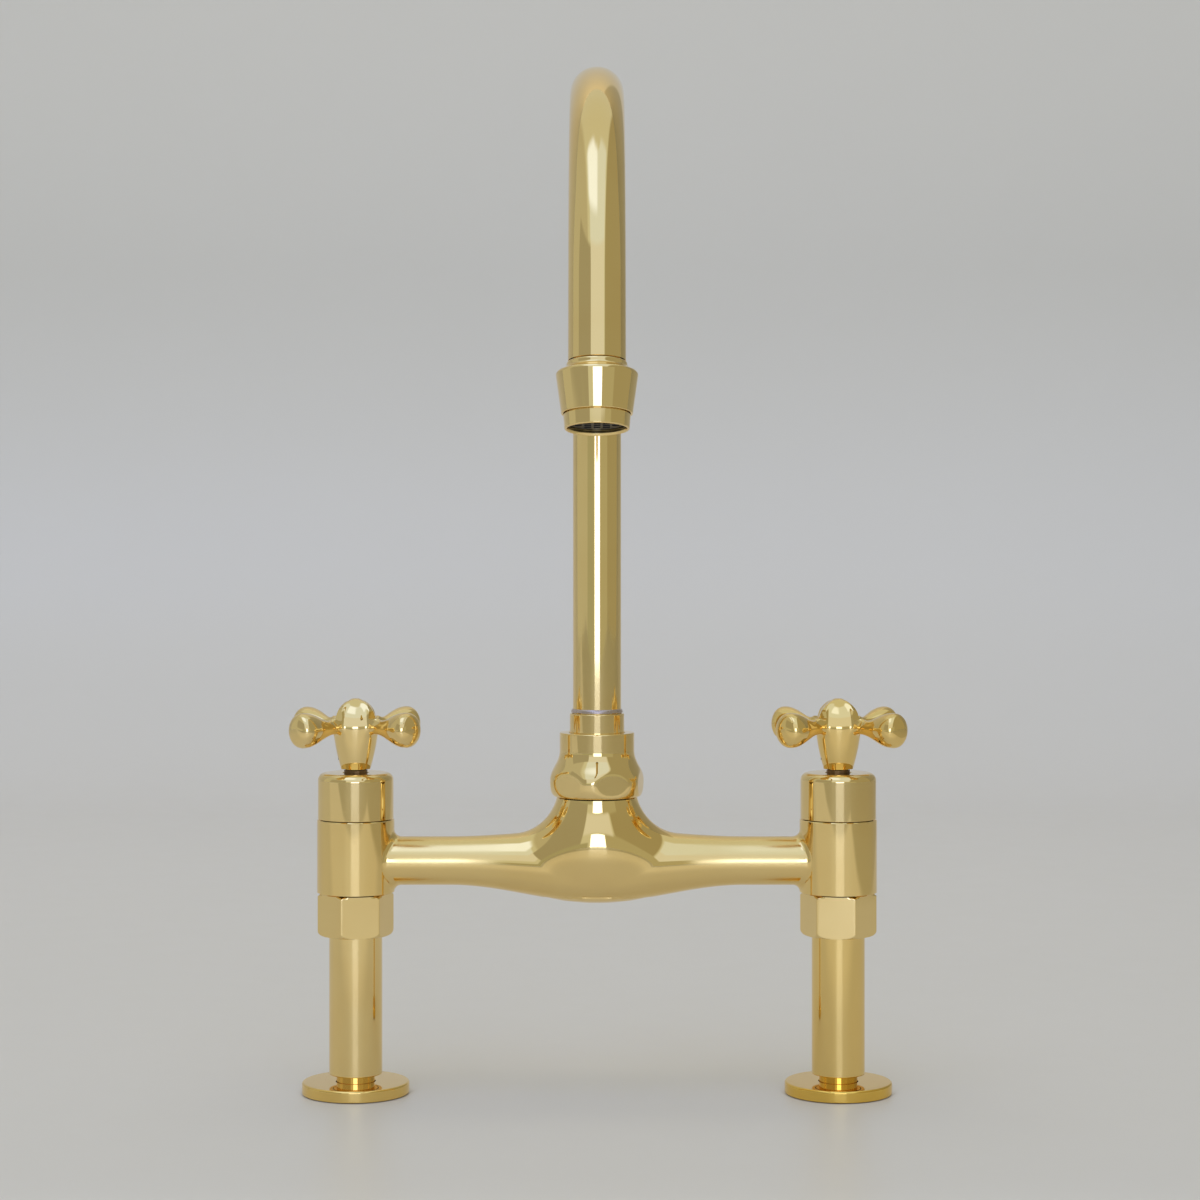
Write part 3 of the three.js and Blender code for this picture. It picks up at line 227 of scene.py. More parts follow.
def rounded(corners, steps=4):
    """An outline of (radius, height, rounding) corners, with each corner made an arc."""
    outline = []
    count = len(corners)
    for index, (radius, height, size) in enumerate(corners):
        here = Vector((radius, height))
        before = Vector(corners[index - 1][:2]) - here
        after = Vector(corners[(index + 1) % count][:2]) - here
        if size <= 0 or before.length < 1e-9 or after.length < 1e-9:
            outline.append(here)
            continue
        half = before.angle(after) / 2
        back = size / math.tan(half)
        limit = 0.49 * min(before.length, after.length)
        if back > limit:
            size *= limit / back
            back = limit
        centre = here + (before.normalized() + after.normalized()).normalized() * (size / math.sin(half))
        first = here + before.normalized() * back - centre
        last = here + after.normalized() * back - centre
        for step in range(steps + 1):
            share = step / steps
            spread = first.angle(last)
            weight = math.sin(spread)
            outline.append(centre + first * (math.sin((1 - share) * spread) / weight)
                           + last * (math.sin(share * spread) / weight))
    return outline


def spun(name, corners, place=(0, 0, 0), segments=None, steps=4):
    """A turned piece: one point is drawn round its outline and the outline is spun about the Z axis."""
    segments = segments or bpy.context.scene.tap_stage.segments
    outline = rounded(corners, steps)
    deselect()
    bpy.ops.mesh.primitive_plane_add(size=MM, location=(0, 0, 0))
    obj = named(name)
    bpy.ops.object.mode_set(mode="EDIT")
    bpy.ops.mesh.select_mode(type="VERT")
    bpy.ops.mesh.select_all(action="SELECT")
    bpy.ops.mesh.merge(type="CENTER")
    here = outline[0]
    bpy.ops.transform.translate(value=(here.x, 0, here.y))
    for point in outline[1:]:
        move = point - here
        bpy.ops.mesh.extrude_region_move(TRANSFORM_OT_translate={"value": (move.x, 0, move.y)})
        here = point
    move = outline[0] - here
    bpy.ops.mesh.extrude_region_move(TRANSFORM_OT_translate={"value": (move.x, 0, move.y)})
    bpy.ops.mesh.select_all(action="SELECT")
    bpy.ops.mesh.remove_doubles(threshold=0.5e-6)
    bpy.ops.mesh.spin(steps=segments, angle=2 * math.pi, center=(0, 0, 0), axis=(0, 0, 1))
    bpy.ops.mesh.select_all(action="SELECT")
    bpy.ops.mesh.remove_doubles(threshold=0.5e-6)
    bpy.ops.mesh.dissolve_degenerate(threshold=0.5e-6)
    bpy.ops.mesh.select_all(action="SELECT")
    bpy.ops.mesh.normals_make_consistent(inside=False)
    bpy.ops.object.mode_set(mode="OBJECT")
    obj.location = place
    settle_place(obj)
    return obj


def smooth(obj, limit=50):
    """Smooth shading, with the edges sharper than the limit kept as edges."""
    choose(obj)
    bpy.ops.object.shade_smooth_by_angle(angle=math.radians(limit))
    apply_modifier(obj, "WEIGHTED_NORMAL", mode="FACE_AREA", keep_sharp=True, weight=50)


def coordinates(obj):
    places = np.empty(len(obj.data.vertices) * 3)
    obj.data.vertices.foreach_get("co", places)
    return places.reshape(-1, 3)


def move_points(obj, places):
    obj.data.vertices.foreach_set("co", places.ravel())
    obj.data.update()


def soft_least(first, second, width):
    """The smaller of two lengths, with the change from one to the other rounded off."""
    overlap = np.clip(width - np.abs(first - second), 0, None)
    return np.minimum(first, second) - overlap ** 2 / (4 * width)


def press_flats(obj, distance, count, turn, softness, low, high):
    """Presses flat faces into a turned piece, at a distance from its axis."""
    places = coordinates(obj)
    out = np.hypot(places[:, 0], places[:, 1])
    angle = np.arctan2(places[:, 1], places[:, 0]) - turn
    pitch = 2 * math.pi / count
    off = (angle + pitch / 2) % pitch - pitch / 2
    pressed = soft_least(out, distance / np.cos(off), softness)
    touched = (places[:, 2] > low) & (places[:, 2] < high) & (out > 0.8 * distance)
    ratio = np.where(touched, pressed / np.maximum(out, 1e-9), 1)
    places[:, :2] *= ratio[:, None]
    move_points(obj, places)


def copy_of(obj, name, place):
    """A copy with its own mesh, put in its place in its mesh."""
    twin = obj.copy()
    twin.data = obj.data.copy()
    twin.name = name
    twin.data.name = name
    bpy.context.collection.objects.link(twin)
    twin.data.transform(place)
    return twin


def give_material(obj, name):
    obj.data.materials.clear()
    obj.data.materials.append(bpy.data.materials[name])


def finish_piece(obj, body, slot, material, *nodes):
    """Gives a piece its material and the body that it rides on, and hides the nodes that it replaces. Its
    slot is not used.
    """
    give_material(obj, material)
    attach(obj, body)
    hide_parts(*nodes)
    deselect()


# ------------------------------------------------------------------ surfaces given by a formula
def slope_of(gap, points, step=1e-6):
    """The steepest way at each point, by small steps."""
    slopes = np.empty_like(points)
    for axis in range(3):
        move = np.zeros(3)
        move[axis] = step
        slopes[:, axis] = (gap(points + move) - gap(points - move)) / (2 * step)
    return slopes


def settle(gap, points, rounds, stride=1.2 * MM):
    """Moves the points onto the surface where gap is nought."""
    points = points.copy()
    for _ in range(rounds):
        slopes = slope_of(gap, points)
        size = np.maximum((slopes ** 2).sum(axis=1), 1e-6)
        move = -slopes * (gap(points) / size)[:, None]
        length = np.maximum(np.linalg.norm(move, axis=1), 1e-12)
        points += move * np.minimum(1, stride / length)[:, None]
    return points


def settle_skin(obj, gap, is_end, rounds=8):
    """Settles a rough skin onto its surface, apart from the ends, which are cut off later."""
    points = coordinates(obj)
    ends = is_end(points)
    moved = settle(gap, points, rounds)
    moved[ends] = points[ends]
    move_points(obj, moved)


def filleted(first, second, alike, radius):
    """Two surfaces joined by the fillet of a ball that rolls along both, given the gaps to each of
    them and the cosine of the angle between their normals."""
    alike = np.minimum(alike, 0.9999)
    inner, other = radius - first, radius - second
    apart = (inner ** 2 + other ** 2 - 2 * inner * other * alike) / (1 - alike ** 2)
    from_ball = np.sqrt(np.maximum(apart, 0))
    touches = (inner > other * alike) & (other > inner * alike)
    return np.where(touches, radius - from_ball, np.minimum(first, second))


def blended(first, second, radius):
    """Two surfaces that run into each other with a soft fillet, given the gaps to each of them."""
    least = np.minimum(first, second)
    inner = np.hypot(np.maximum(radius - first, 0), np.maximum(radius - second, 0))
    return np.where(least > radius, least, radius - inner)


def melted(width, *gaps):
    """Surfaces joined into one, with joins as soft as the width."""
    total = sum(np.exp(-np.clip(gap / width, -60, 60)) for gap in gaps)
    return -width * np.log(total)


def oval_gap(across, up, half_width, half_height):
    """Gap to an oval round the origin."""
    share = np.maximum(np.hypot(across / half_width, up / half_height), 1e-6)
    slope = np.hypot(across / half_width ** 2, up / half_height ** 2) / share
    return (share - 1) / np.maximum(slope, 1e-6)


SKIN_ERROR = 0.02 * MM  # how far off its formula a settled point may lie


def true_normals(obj, gap, limit=30):
    """Gives the skin the formula's own normals, and leaves cut faces flat."""
    mesh = obj.data
    points = coordinates(obj)
    slopes = slope_of(gap, points)
    slopes /= np.maximum(np.linalg.norm(slopes, axis=1), 1e-9)[:, None]
    on_skin = np.abs(gap(points)) < SKIN_ERROR
    corners = []
    least = math.cos(math.radians(limit))
    for face in mesh.polygons:
        normal = np.array(face.normal)
        for vertex in face.vertices:
            near = on_skin[vertex] and float(slopes[vertex] @ normal) > least
            corners.append(slopes[vertex] if near else normal)
    mesh.shade_smooth()
    mesh.normals_split_custom_set([tuple(corner) for corner in corners])


def roughed_out(name, parts, voxel):
    """Joins rough lumps into one skin of even voxels."""
    deselect()
    for part in parts:
        part.select_set(True)
    bpy.context.view_layer.objects.active = parts[0]
    bpy.ops.object.join()
    obj = named(name)
    settle_place(obj)
    apply_modifier(obj, "REMESH", mode="VOXEL", voxel_size=voxel)
    return obj


def rod(radius, start, end):
    """A rough cylinder between two places."""
    start, end = Vector(start), Vector(end)
    turn = (end - start).to_track_quat("Z", "Y").to_euler()
    bpy.ops.mesh.primitive_cylinder_add(
        vertices=48, radius=radius, depth=(end - start).length, location=(start + end) / 2, rotation=turn)
    return bpy.context.object


def ball(radius, place, scale=(1, 1, 1)):
    bpy.ops.mesh.primitive_uv_sphere_add(radius=radius, location=place, scale=scale)
    return bpy.context.object


def select_faces(obj, wanted):
    """Selects the faces for which wanted is true, and leaves the piece in edit mode."""
    bpy.ops.object.mode_set(mode="OBJECT")
    for face in obj.data.polygons:
        face.select = bool(wanted(face))
    bpy.ops.object.mode_set(mode="EDIT")
    bpy.ops.mesh.select_mode(type="FACE")


def cut_level(obj, height, upwards, inside, axis, chamfer=GAP):
    """Cuts the end of a round upright stretch off level, with a small chamfer, leaves the new face
    selected and returns its radius."""
    def is_cut(face):
        return abs(face.normal.z) > 0.9 and abs(face.center.z - height) < 1e-6 and inside(face.center)

    choose(obj)
    edge = height - chamfer if upwards else height + chamfer
    select_faces(obj, lambda face: inside(face.center))
    bpy.ops.mesh.bisect(plane_co=(0, 0, edge), plane_no=(0, 0, 1))
    select_faces(obj, lambda face: inside(face.center))
    bpy.ops.mesh.bisect(plane_co=(0, 0, height), plane_no=(0, 0, 1), use_fill=True,
                        clear_outer=upwards, clear_inner=not upwards)
    bpy.ops.object.mode_set(mode="OBJECT")
    mesh = obj.data
    middle = Vector((axis, 0, height))
    filled = (face for face in mesh.polygons if face.select)
    radius = max((mesh.vertices[index].co - middle).length for face in filled for index in face.vertices)
    shrink = (radius - chamfer) / radius
    for index in {index for face in mesh.polygons if is_cut(face) for index in face.vertices}:
        point = mesh.vertices[index].co
        point.x = axis + (point.x - axis) * shrink
        point.y *= shrink
    mesh.update()
    select_faces(obj, lambda face: is_cut(face) and len(face.vertices) > 8)
    return radius - chamfer


def step_face(obj, share, rise, centre):
    """Draws the selected face in to a share of its width, and what is left up or down."""
    bpy.ops.mesh.extrude_region_move(TRANSFORM_OT_translate={"value": (0, 0, 0)})
    bpy.ops.transform.resize(value=(share, share, 1), center_override=centre)
    bpy.ops.mesh.extrude_region_move(TRANSFORM_OT_translate={"value": (0, 0, rise)})


# ------------------------------------------------------------------ materials
class Value:
    """A socket in a node tree, so that shader maths reads as Python."""

    def __init__(self, tree, socket):
        self.tree = tree
        self.socket = socket

    def __add__(self, other):
        return self.tree.maths("ADD", self, other)

    def __radd__(self, other):
        return self.tree.maths("ADD", other, self)

    def __sub__(self, other):
        return self.tree.maths("SUBTRACT", self, other)

    def __rsub__(self, other):
        return self.tree.maths("SUBTRACT", other, self)

    def __mul__(self, other):
        return self.tree.maths("MULTIPLY", self, other)

    def __rmul__(self, other):
        return self.tree.maths("MULTIPLY", other, self)

    def between(self, low, high):
        """0 below low, 1 above high and smooth in between."""
        settings = {"interpolation_type": "SMOOTHSTEP"}
        inputs = {"Value": self, "From Min": low, "From Max": high}
        return self.tree.add("ShaderNodeMapRange", settings, inputs)[0]


class Tree:
    """A node tree that is written down a line at a time."""

    def __init__(self, owner):
        owner.use_nodes = True
        self.nodes = owner.node_tree.nodes
        self.links = owner.node_tree.links
        self.nodes.clear()

    def add(self, kind, settings=None, inputs=None):
        """Adds a node, sets it, feeds its sockets, and returns its outputs."""
        node = self.nodes.new(kind)
        for key, value in (settings or {}).items():
            setattr(node, key, value)
        for key, value in (inputs or {}).items():
            self.feed(node.inputs[key], value)
        return [Value(self, socket) for socket in node.outputs]

    def feed(self, socket, value):
        """Links another node's output to a socket, or sets the socket's own value."""
        if isinstance(value, Value):
            self.links.new(value.socket, socket)
        else:
            socket.default_value = value

    def mix(self, factor, first, second):
        """Mixes two colours."""
        node = self.nodes.new("ShaderNodeMix")
        node.data_type = "RGBA"
        for socket, value in ((0, factor), (6, first), (7, second)):
            self.feed(node.inputs[socket], value)
        return Value(self, node.outputs[2])

    def place(self):
        """Object coordinates."""
        return self.add("ShaderNodeTexCoord")[3]

    def parts_of(self, vector):
        """The x, y and z of a vector."""
        return self.add("ShaderNodeSeparateXYZ", None, {"Vector": vector})[:3]

    def maths(self, operation, *values):
        return self.add("ShaderNodeMath", {"operation": operation}, dict(enumerate(values)))[0]

    def noise(self, scale, detail=2.0, stretch=None):
        place = self.place()
        if stretch:
            place = self.add("ShaderNodeMapping", None, {"Vector": place, "Scale": stretch})[0]
        inputs = {"Vector": place, "Scale": scale, "Detail": detail}
        return self.add("ShaderNodeTexNoise", None, inputs)[0]

    def bump(self, height, strength, distance):
        inputs = {"Height": height, "Strength": strength, "Distance": distance}
        return self.add("ShaderNodeBump", None, inputs)[0]

    def surface(self, **inputs):
        names = {key.replace("_", " "): value for key, value in inputs.items()}
        shader = self.add("ShaderNodeBsdfPrincipled", None, names)[0]
        self.add("ShaderNodeOutputMaterial", None, {"Surface": shader})


def opaque(value):
    return (value[0], value[1], value[2], 1)


def new_material(name, value):
    material = bpy.data.materials.new(name)
    material.diffuse_color = opaque(value)
    return material, Tree(material)


def between(share, first, second):
    """The colour that is a share of the way from the first to the second."""
    return [one + (other - one) * share for one, other in zip(first, second)]


# distance from the middle over which the softer polish of the casting's arms comes and goes
RUBBED_FROM = (30 * MM, 48 * MM)
RUBBED_TO = (80 * MM, 88 * MM)


def polished_brass(name, finishes, dull=0.0, depth=0.0, hand_rubbed=0.0):
    """Mirror-polished bare brass: faint clouds of tarnish, buffing marks and a soft waviness. Its depth is a
    share of painted shade, a darker and warmer gold.
    The arms of a casting are rubbed by hand, and their mirror is softer than the middle's."""
    gold = between(depth, finishes.brass, finishes.painted_shade_gold)
    material, tree = new_material(name, gold)
    clouds = tree.noise(22, 3).between(0.42, 0.78)
    smears = tree.noise(160, 4).between(0.58, 0.8)
    waves = tree.noise(45, 1)
    base = tree.mix(clouds * 0.3, opaque(gold), opaque(between(depth, finishes.warm, finishes.painted_shade_gold)))
    rough = 0.02 + dull + 0.02 * clouds + 0.04 * smears
    if hand_rubbed:
        from_middle = tree.maths("ABSOLUTE", tree.parts_of(tree.place())[0])
        arm = from_middle.between(*RUBBED_FROM) * (1 - from_middle.between(*RUBBED_TO))
        rough = rough + hand_rubbed * arm
    tree.surface(Base_Color=base, Metallic=1.0, Roughness=rough, Normal=tree.bump(waves, 0.06, 0.0004))
    return material


def machined_brass(name, finishes):
    """Unpolished brass with fine turning marks."""
    material, tree = new_material(name, finishes.cut)
    grain = tree.noise(700, 3, (0.15, 0.15, 3))
    stain = tree.noise(60, 3).between(0.4, 0.8)
    base = tree.mix(stain * 0.5, opaque(finishes.cut), opaque(finishes.stain_and_spindle_shade))
    marks = tree.bump(grain, 0.15, 0.0002)
    tree.surface(Base_Color=base, Metallic=1.0, Roughness=0.28 + 0.2 * grain, Normal=marks)
    return material


def spindle_painted_shade(name, finishes):
    # Painted shade: the spindle is coloured dark brown for the shade and dark reflection it stands in.
    material, tree = new_material(name, finishes.stain_and_spindle_shade)
    grain = tree.noise(900, 2, (1, 1, 4))
    stain = tree.noise(120, 3).between(0.3, 0.8)
    base = tree.mix(stain, opaque(finishes.stain_and_spindle_shade), opaque([part * 1.9 for part in finishes.stain_and_spindle_shade]))
    marks = tree.bump(grain, 0.2, 0.0002)
    tree.surface(Base_Color=base, Metallic=0.9, Roughness=0.3 + 0.2 * grain, Normal=marks)
    return material


def grey_metal(name, value, roughness):
    material, tree = new_material(name, value)
    grain = tree.noise(800, 3, (1, 1, 0.2))
    stain = tree.noise(90, 3)
    base = tree.mix(stain * 0.5, opaque(value), opaque([part * 0.72 for part in value]))
    rough = roughness + 0.15 * grain
    tree.surface(Base_Color=base, Metallic=1.0, Roughness=rough, Normal=tree.bump(grain, 0.2, 0.0002))
    return material


def moulded(name, value, roughness, specks=0.1):
    """Rubber, plastic or ceramic: a fine moulded grain and faint specks."""
    material, tree = new_material(name, value)
    grain = tree.noise(1500, 3)
    patch = tree.noise(140, 2)
    pale = opaque([min(part * (1 + specks) + 0.01, 1) for part in value])
    base = tree.mix(patch, opaque(value), pale)
    rough = roughness + 0.12 * grain
    tree.surface(Base_Color=base, Metallic=0.0, Roughness=rough, Normal=tree.bump(grain, 0.2, 0.0001))
    return material


def make_materials():
    """Makes every material, and says which one each slot of the record gets."""
    finishes = bpy.context.scene.tap_finishes
    polished_brass("spout_brass", finishes, dull=0.03)
    # Painted shade by depth: a little on the casting, more on the left foot and the right leg and handle,
    # most on the right foot.
    polished_brass("cast_brass", finishes, depth=0.12, hand_rubbed=0.2)
    polished_brass("left_foot_brass", finishes, dull=0.03, depth=0.5)
    polished_brass("right_foot_brass", finishes, dull=0.03, depth=0.9)
    polished_brass("right_brass_painted_shade", finishes, depth=0.3)
    spindle_painted_shade("spindle_painted_shade", finishes)
    return {
        "polished_brass": polished_brass("mirror_brass", finishes),
        "machined_brass": machined_brass("turned_brass", finishes),
        "silver_braze": grey_metal("grey_braze", finishes.braze, 0.2),
        "stainless_steel": grey_metal("plain_steel", finishes.steel, 0.25),
        "black_rubber": moulded("matt_rubber", finishes.rubber, 0.7),
        "black_plastic": moulded("dark_plastic", finishes.plastic, 0.4),
        "white_acetal": moulded("pale_acetal", finishes.acetal, 0.4),
        "ceramic": moulded("lapped_ceramic", finishes.ceramic, 0.2),
    }


# ------------------------------------------------------------------ pieces
class TAP_OT_finishes(bpy.types.Operator):
    """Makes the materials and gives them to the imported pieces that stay"""
    bl_idname = "tap.finishes"
    bl_label = "Finishes"

    def execute(self, context):
        materials = make_materials()
        slots = {part["node"]: part["material_slot"] for part in frame["record"]["subparts"]}
        for node, obj in frame["nodes"].items():
            give_material(obj, materials[slots[node]].name)
        return {"FINISHED"}


def bridge_gap(points, sizes):
    """Gap to the casting's skin: a tube that swells and sags, an upright neck and two pillars."""
    x, y, z = points[:, 0], points[:, 1], points[:, 2] - sizes.axis
    swell = np.cos(math.pi / 2 * np.minimum(np.abs(x) / sizes.reach, 1)) ** 2
    past = np.maximum(np.abs(x) - abs(LEG_X) + PILLAR_RADIUS / 2, 0)
    from_tube = np.maximum(np.sqrt(y ** 2 + (z + sizes.sag * swell) ** 2 + past ** 2), 1e-6)
    tube = from_tube - sizes.arm - sizes.rise * swell
    neck = np.hypot(x, y) - sizes.saddle + np.hypot(z, sizes.fade) - z
    body = blended(tube, neck, sizes.fillet)
    from_pillar = np.maximum(np.hypot(np.abs(x) - abs(LEG_X), y), 1e-6)
    alike = y * y / (from_tube * from_pillar)
    return filleted(body, from_pillar - PILLAR_RADIUS, alike, sizes.pillar_fillet)


class TAP_OT_bridge(bpy.types.Operator):
    """Models the bridge casting: arms, saddle and two pillars in one skin"""
    bl_idname = "tap.bridge"
    bl_label = "Bridge casting"

    def execute(self, context):
        sizes = context.scene.tap_bridge
        obj = roughed_out("bridge_casting", self.lumps(sizes), sizes.voxel)

        def gap(points):
            return bridge_gap(points, sizes)

        settle_skin(obj, gap, self.is_end)
        for x in LEG_PLACES.values():
            self.open_pillar(obj, x)
        self.open_saddle(obj, sizes.saddle)
        bpy.ops.object.mode_set(mode="OBJECT")
        true_normals(obj, gap)
        finish_piece(obj, "bridge", "polished_brass", "cast_brass", "bridge_body")
        return {"FINISHED"}

    @staticmethod
    def lumps(sizes):
        """Rods and a ball that lie close to the casting's surface."""
        deselect()
        lumps = [
            rod(sizes.arm, (-abs(LEG_X), 0, sizes.axis), (abs(LEG_X), 0, sizes.axis)),
            rod(sizes.saddle, (0, 0, sizes.axis), (0, 0, SADDLE_TOP + BEYOND)),
            ball(sizes.saddle, (0, 0, sizes.axis), (2.4, 1, 1)),
        ]
        for x in LEG_PLACES.values():
            lumps.append(rod(PILLAR_RADIUS, (x, 0, PILLAR_FOOT - BEYOND), (x, 0, PILLAR_TOP + BEYOND)))
        return lumps

    @staticmethod
    def is_end(points):
        beside, height = np.abs(points[:, 0]), points[:, 2]
        above_pillar = (height > PILLAR_TOP + BEYOND / 2) & (beside > abs(LEG_X) / 2)
        return above_pillar | (height > SADDLE_TOP + BEYOND / 2) | (height < PILLAR_FOOT - BEYOND / 2)

    @staticmethod
    def open_pillar(obj, axis):
        """The valve chamber from above, and the spigot with its waterway from below."""
        chamber, chamber_depth = 10.3 * MM, 12 * MM
        spigot, spigot_length = 12 * MM, 9 * MM
        seat, seat_depth = 6 * MM, 12 * MM

        def near(place):
            return abs(place.x - axis) < 1.2 * PILLAR_RADIUS

        rim = cut_level(obj, PILLAR_TOP, True, near, axis)
        step_face(obj, chamber / rim, -chamber_depth, (axis, 0, PILLAR_TOP))
        rim = cut_level(obj, PILLAR_FOOT, False, near, axis)
        step_face(obj, spigot / rim, -spigot_length, (axis, 0, PILLAR_FOOT))
        step_face(obj, seat / spigot, seat_depth, (axis, 0, PILLAR_FOOT))

    @staticmethod
    def open_saddle(obj, saddle):
        """The boss that the spout nut screws onto, and the socket for the swivel."""
        boss, boss_height = 13.7 * MM, 15.5 * MM
        socket, socket_depth = 10.3 * MM, 25 * MM
        rim = cut_level(obj, SADDLE_TOP, True, lambda place: abs(place.x) < 2 * saddle, 0)
        step_face(obj, boss / rim, boss_height, (0, 0, SADDLE_TOP))
        step_face(obj, socket / boss, -socket_depth, (0, 0, SADDLE_TOP))


class TAP_OT_valve_caps(bpy.types.Operator):
    """Models the two domed-edge valve caps"""
    bl_idname = "tap.valve_caps"
    bl_label = "Valve caps"

    def execute(self, context):
        outer = CAP.half.x
        low, high = CAP.low.z, CAP.high.z
        wall, roof, edge, fine = 2 * MM, 1.6 * MM, 3 * MM, 0.25 * MM
        hole = 5.45 * MM
        corners = [
            (outer - wall, low, fine), (outer, low, fine), (outer, high, edge), (hole, high, fine),
            (hole, high - roof, fine), (outer - wall, high - roof - wall, edge / 2),
        ]
        for side, x in LEG_PLACES.items():
            obj = spun(f"cap_{side}", corners, (x, 0, 0), steps=8)
            smooth(obj)
            finish_piece(obj, "bridge", "polished_brass", "mirror_brass", f"valve_cap_{side}")
        return {"FINISHED"}


class TAP_OT_union_nuts(bpy.types.Operator):
    """Models the hexagonal union nuts"""
    bl_idname = "tap.union_nuts"
    bl_label = "Union nuts"

    def execute(self, context):
        sizes = context.scene.tap_nuts
        flat = sizes.union_flats / 2
        outer = flat / math.cos(math.pi / 6)
        low, high = UNION_NUT.low.z, UNION_NUT.high.z
        bore, hole, lip, fine = 12.3 * MM, LEG.half.x - 1 * MM + GAP, 2.8 * MM, 0.25 * MM
        chamfer, chamfer_drop = 1.2 * MM, 0.9 * MM
        for side, turn in (("left", sizes.union_left), ("right", sizes.union_right)):
            corners = [
                (bore, high, fine), (outer - chamfer, high, fine), (outer, high - chamfer_drop, chamfer / 2),
                (outer, low, sizes.union_foot), (hole, low, fine), (hole, low + lip, 0), (bore, low + lip, 0),
            ]
            obj = spun(f"hexagon_nut_{side}", corners, segments=288, steps=8)
            press_flats(obj, flat, 6, turn + math.pi / 2, 0.25 * MM, low, high)
            obj.location.x = LEG_PLACES[side]
            settle_place(obj)
            smooth(obj)
            finish_piece(obj, "bridge", "polished_brass", "mirror_brass", f"union_nut_{side}")
        return {"FINISHED"}


class TAP_OT_legs(bpy.types.Operator):
    """Models the leg tubes, their nipples and the foot flanges"""
    bl_idname = "tap.legs"
    bl_label = "Legs and feet"

    def execute(self, context):
        outer, fine = 11 * MM, 0.2 * MM
        bore = outer - 1.5 * MM
        low, high = LEG.low.z, LEG.high.z
        collar, collar_foot = LEG.half.x, high - 2.6 * MM
        tube = [
            (bore, low, fine), (outer, low, 0.4 * MM), (outer, collar_foot, 0.1 * MM),
            (collar, collar_foot, fine), (collar, high, fine), (bore, high, fine),
        ]
        neck, plug, inlet = 7.9 * MM, bore - GAP, 4 * MM
        thread, thread_top = 5 * MM, 12.3 * MM
        nipple = [
            (thread, NIPPLE.low.z, fine), (neck, NIPPLE.low.z, fine), (neck, low, 0), (plug, low, 0),
            (plug, NIPPLE.high.z, fine), (inlet, NIPPLE.high.z, fine), (inlet, thread_top, 0),
            (thread, thread_top, 0),
        ]
        rim, top = FLANGE.half.x, FLANGE.high.z
        flange = [
            (neck + GAP, 0, fine), (rim, 0, 0.5 * MM), (rim, top, 0.9 * MM), (neck + GAP, top, 0.3 * MM),
        ]
        # The right leg gets the copy of the brass with painted shade, and both feet get painted shade.
        leg_brass = {"left": "mirror_brass", "right": "right_brass_painted_shade"}
        for side, x in LEG_PLACES.items():
            for name, node, corners, slot, material in (
                    ("leg", "leg_tube", tube, "polished_brass", leg_brass[side]),
                    ("nipple", "foot_nipple", nipple, "machined_brass", f"{side}_foot_brass"),
                    ("foot", "foot_flange", flange, "polished_brass", f"{side}_foot_brass")):
                obj = spun(f"{name}_{side}", corners, (x, 0, 0))
                smooth(obj)
                finish_piece(obj, "bridge", slot, material, f"{node}_{side}")
        return {"FINISHED"}


def arm_half_height(along, sizes):
    """Half the height of an arm, from its waist out to its knob."""
    part = np.clip((along - sizes.waist_place) / (sizes.knob_place - sizes.waist_place), 0, 1)
    return sizes.waist + (sizes.knob - sizes.waist) * part * part * (3 - 2 * part)


def bar_gap(along, across, up, sizes):
    """Gap to one bar of the cross, with its knobs' round ends and its ridge over the crown."""
    along = np.abs(along)
    half = arm_half_height(np.minimum(along, sizes.knob_place), sizes)
    ridge = (sizes.rise - sizes.waist) * np.exp(-(along / sizes.ridge_reach) ** sizes.ridge_bell)
    tall = np.where(up > 0, half + ridge, half)
    side = oval_gap(across, up, sizes.flatness * half, tall)
    bulge, steepness = 2.6, 0.6
    past = np.maximum(along - sizes.knob_place, 0) / (sizes.reach - sizes.knob_place)
    round_about = np.maximum(np.hypot(across / (sizes.flatness * sizes.knob), up / sizes.knob), 1e-6)
    end = ((past ** bulge + round_about ** bulge) ** (1 / bulge) - 1) * steepness * sizes.knob
    return np.where(along > sizes.knob_place, end, side)


def hub_radius(up, sizes):
    """Radius of the hub: a flaring cone under the arms and a dome over them."""
    flare, lip_height = 1.6, 2 * MM
    part = np.clip(1 + up / sizes.drop, 0, 1)
    cone = sizes.foot + (sizes.hub - sizes.foot) * (1 - (1 - part) ** flare)
    dome = sizes.crown * np.sqrt(np.clip(1 - (up / sizes.rise) ** 2, 0, 1))
    lip = (sizes.hub - sizes.crown) * np.exp(-(up / lip_height) ** 2)
    return np.where(up < 0, cone, dome + lip)


def handle_gap(points, sizes):
    x, y, z = points[:, 0], points[:, 1], points[:, 2]
    out = np.hypot(x, y)
    dome = oval_gap(out, z, sizes.crown, sizes.rise)
    hub = np.where(z > sizes.rise / 2, dome, out - hub_radius(z, sizes))
    return melted(sizes.melt, hub, bar_gap(x, y, z, sizes), bar_gap(y, x, z, sizes))


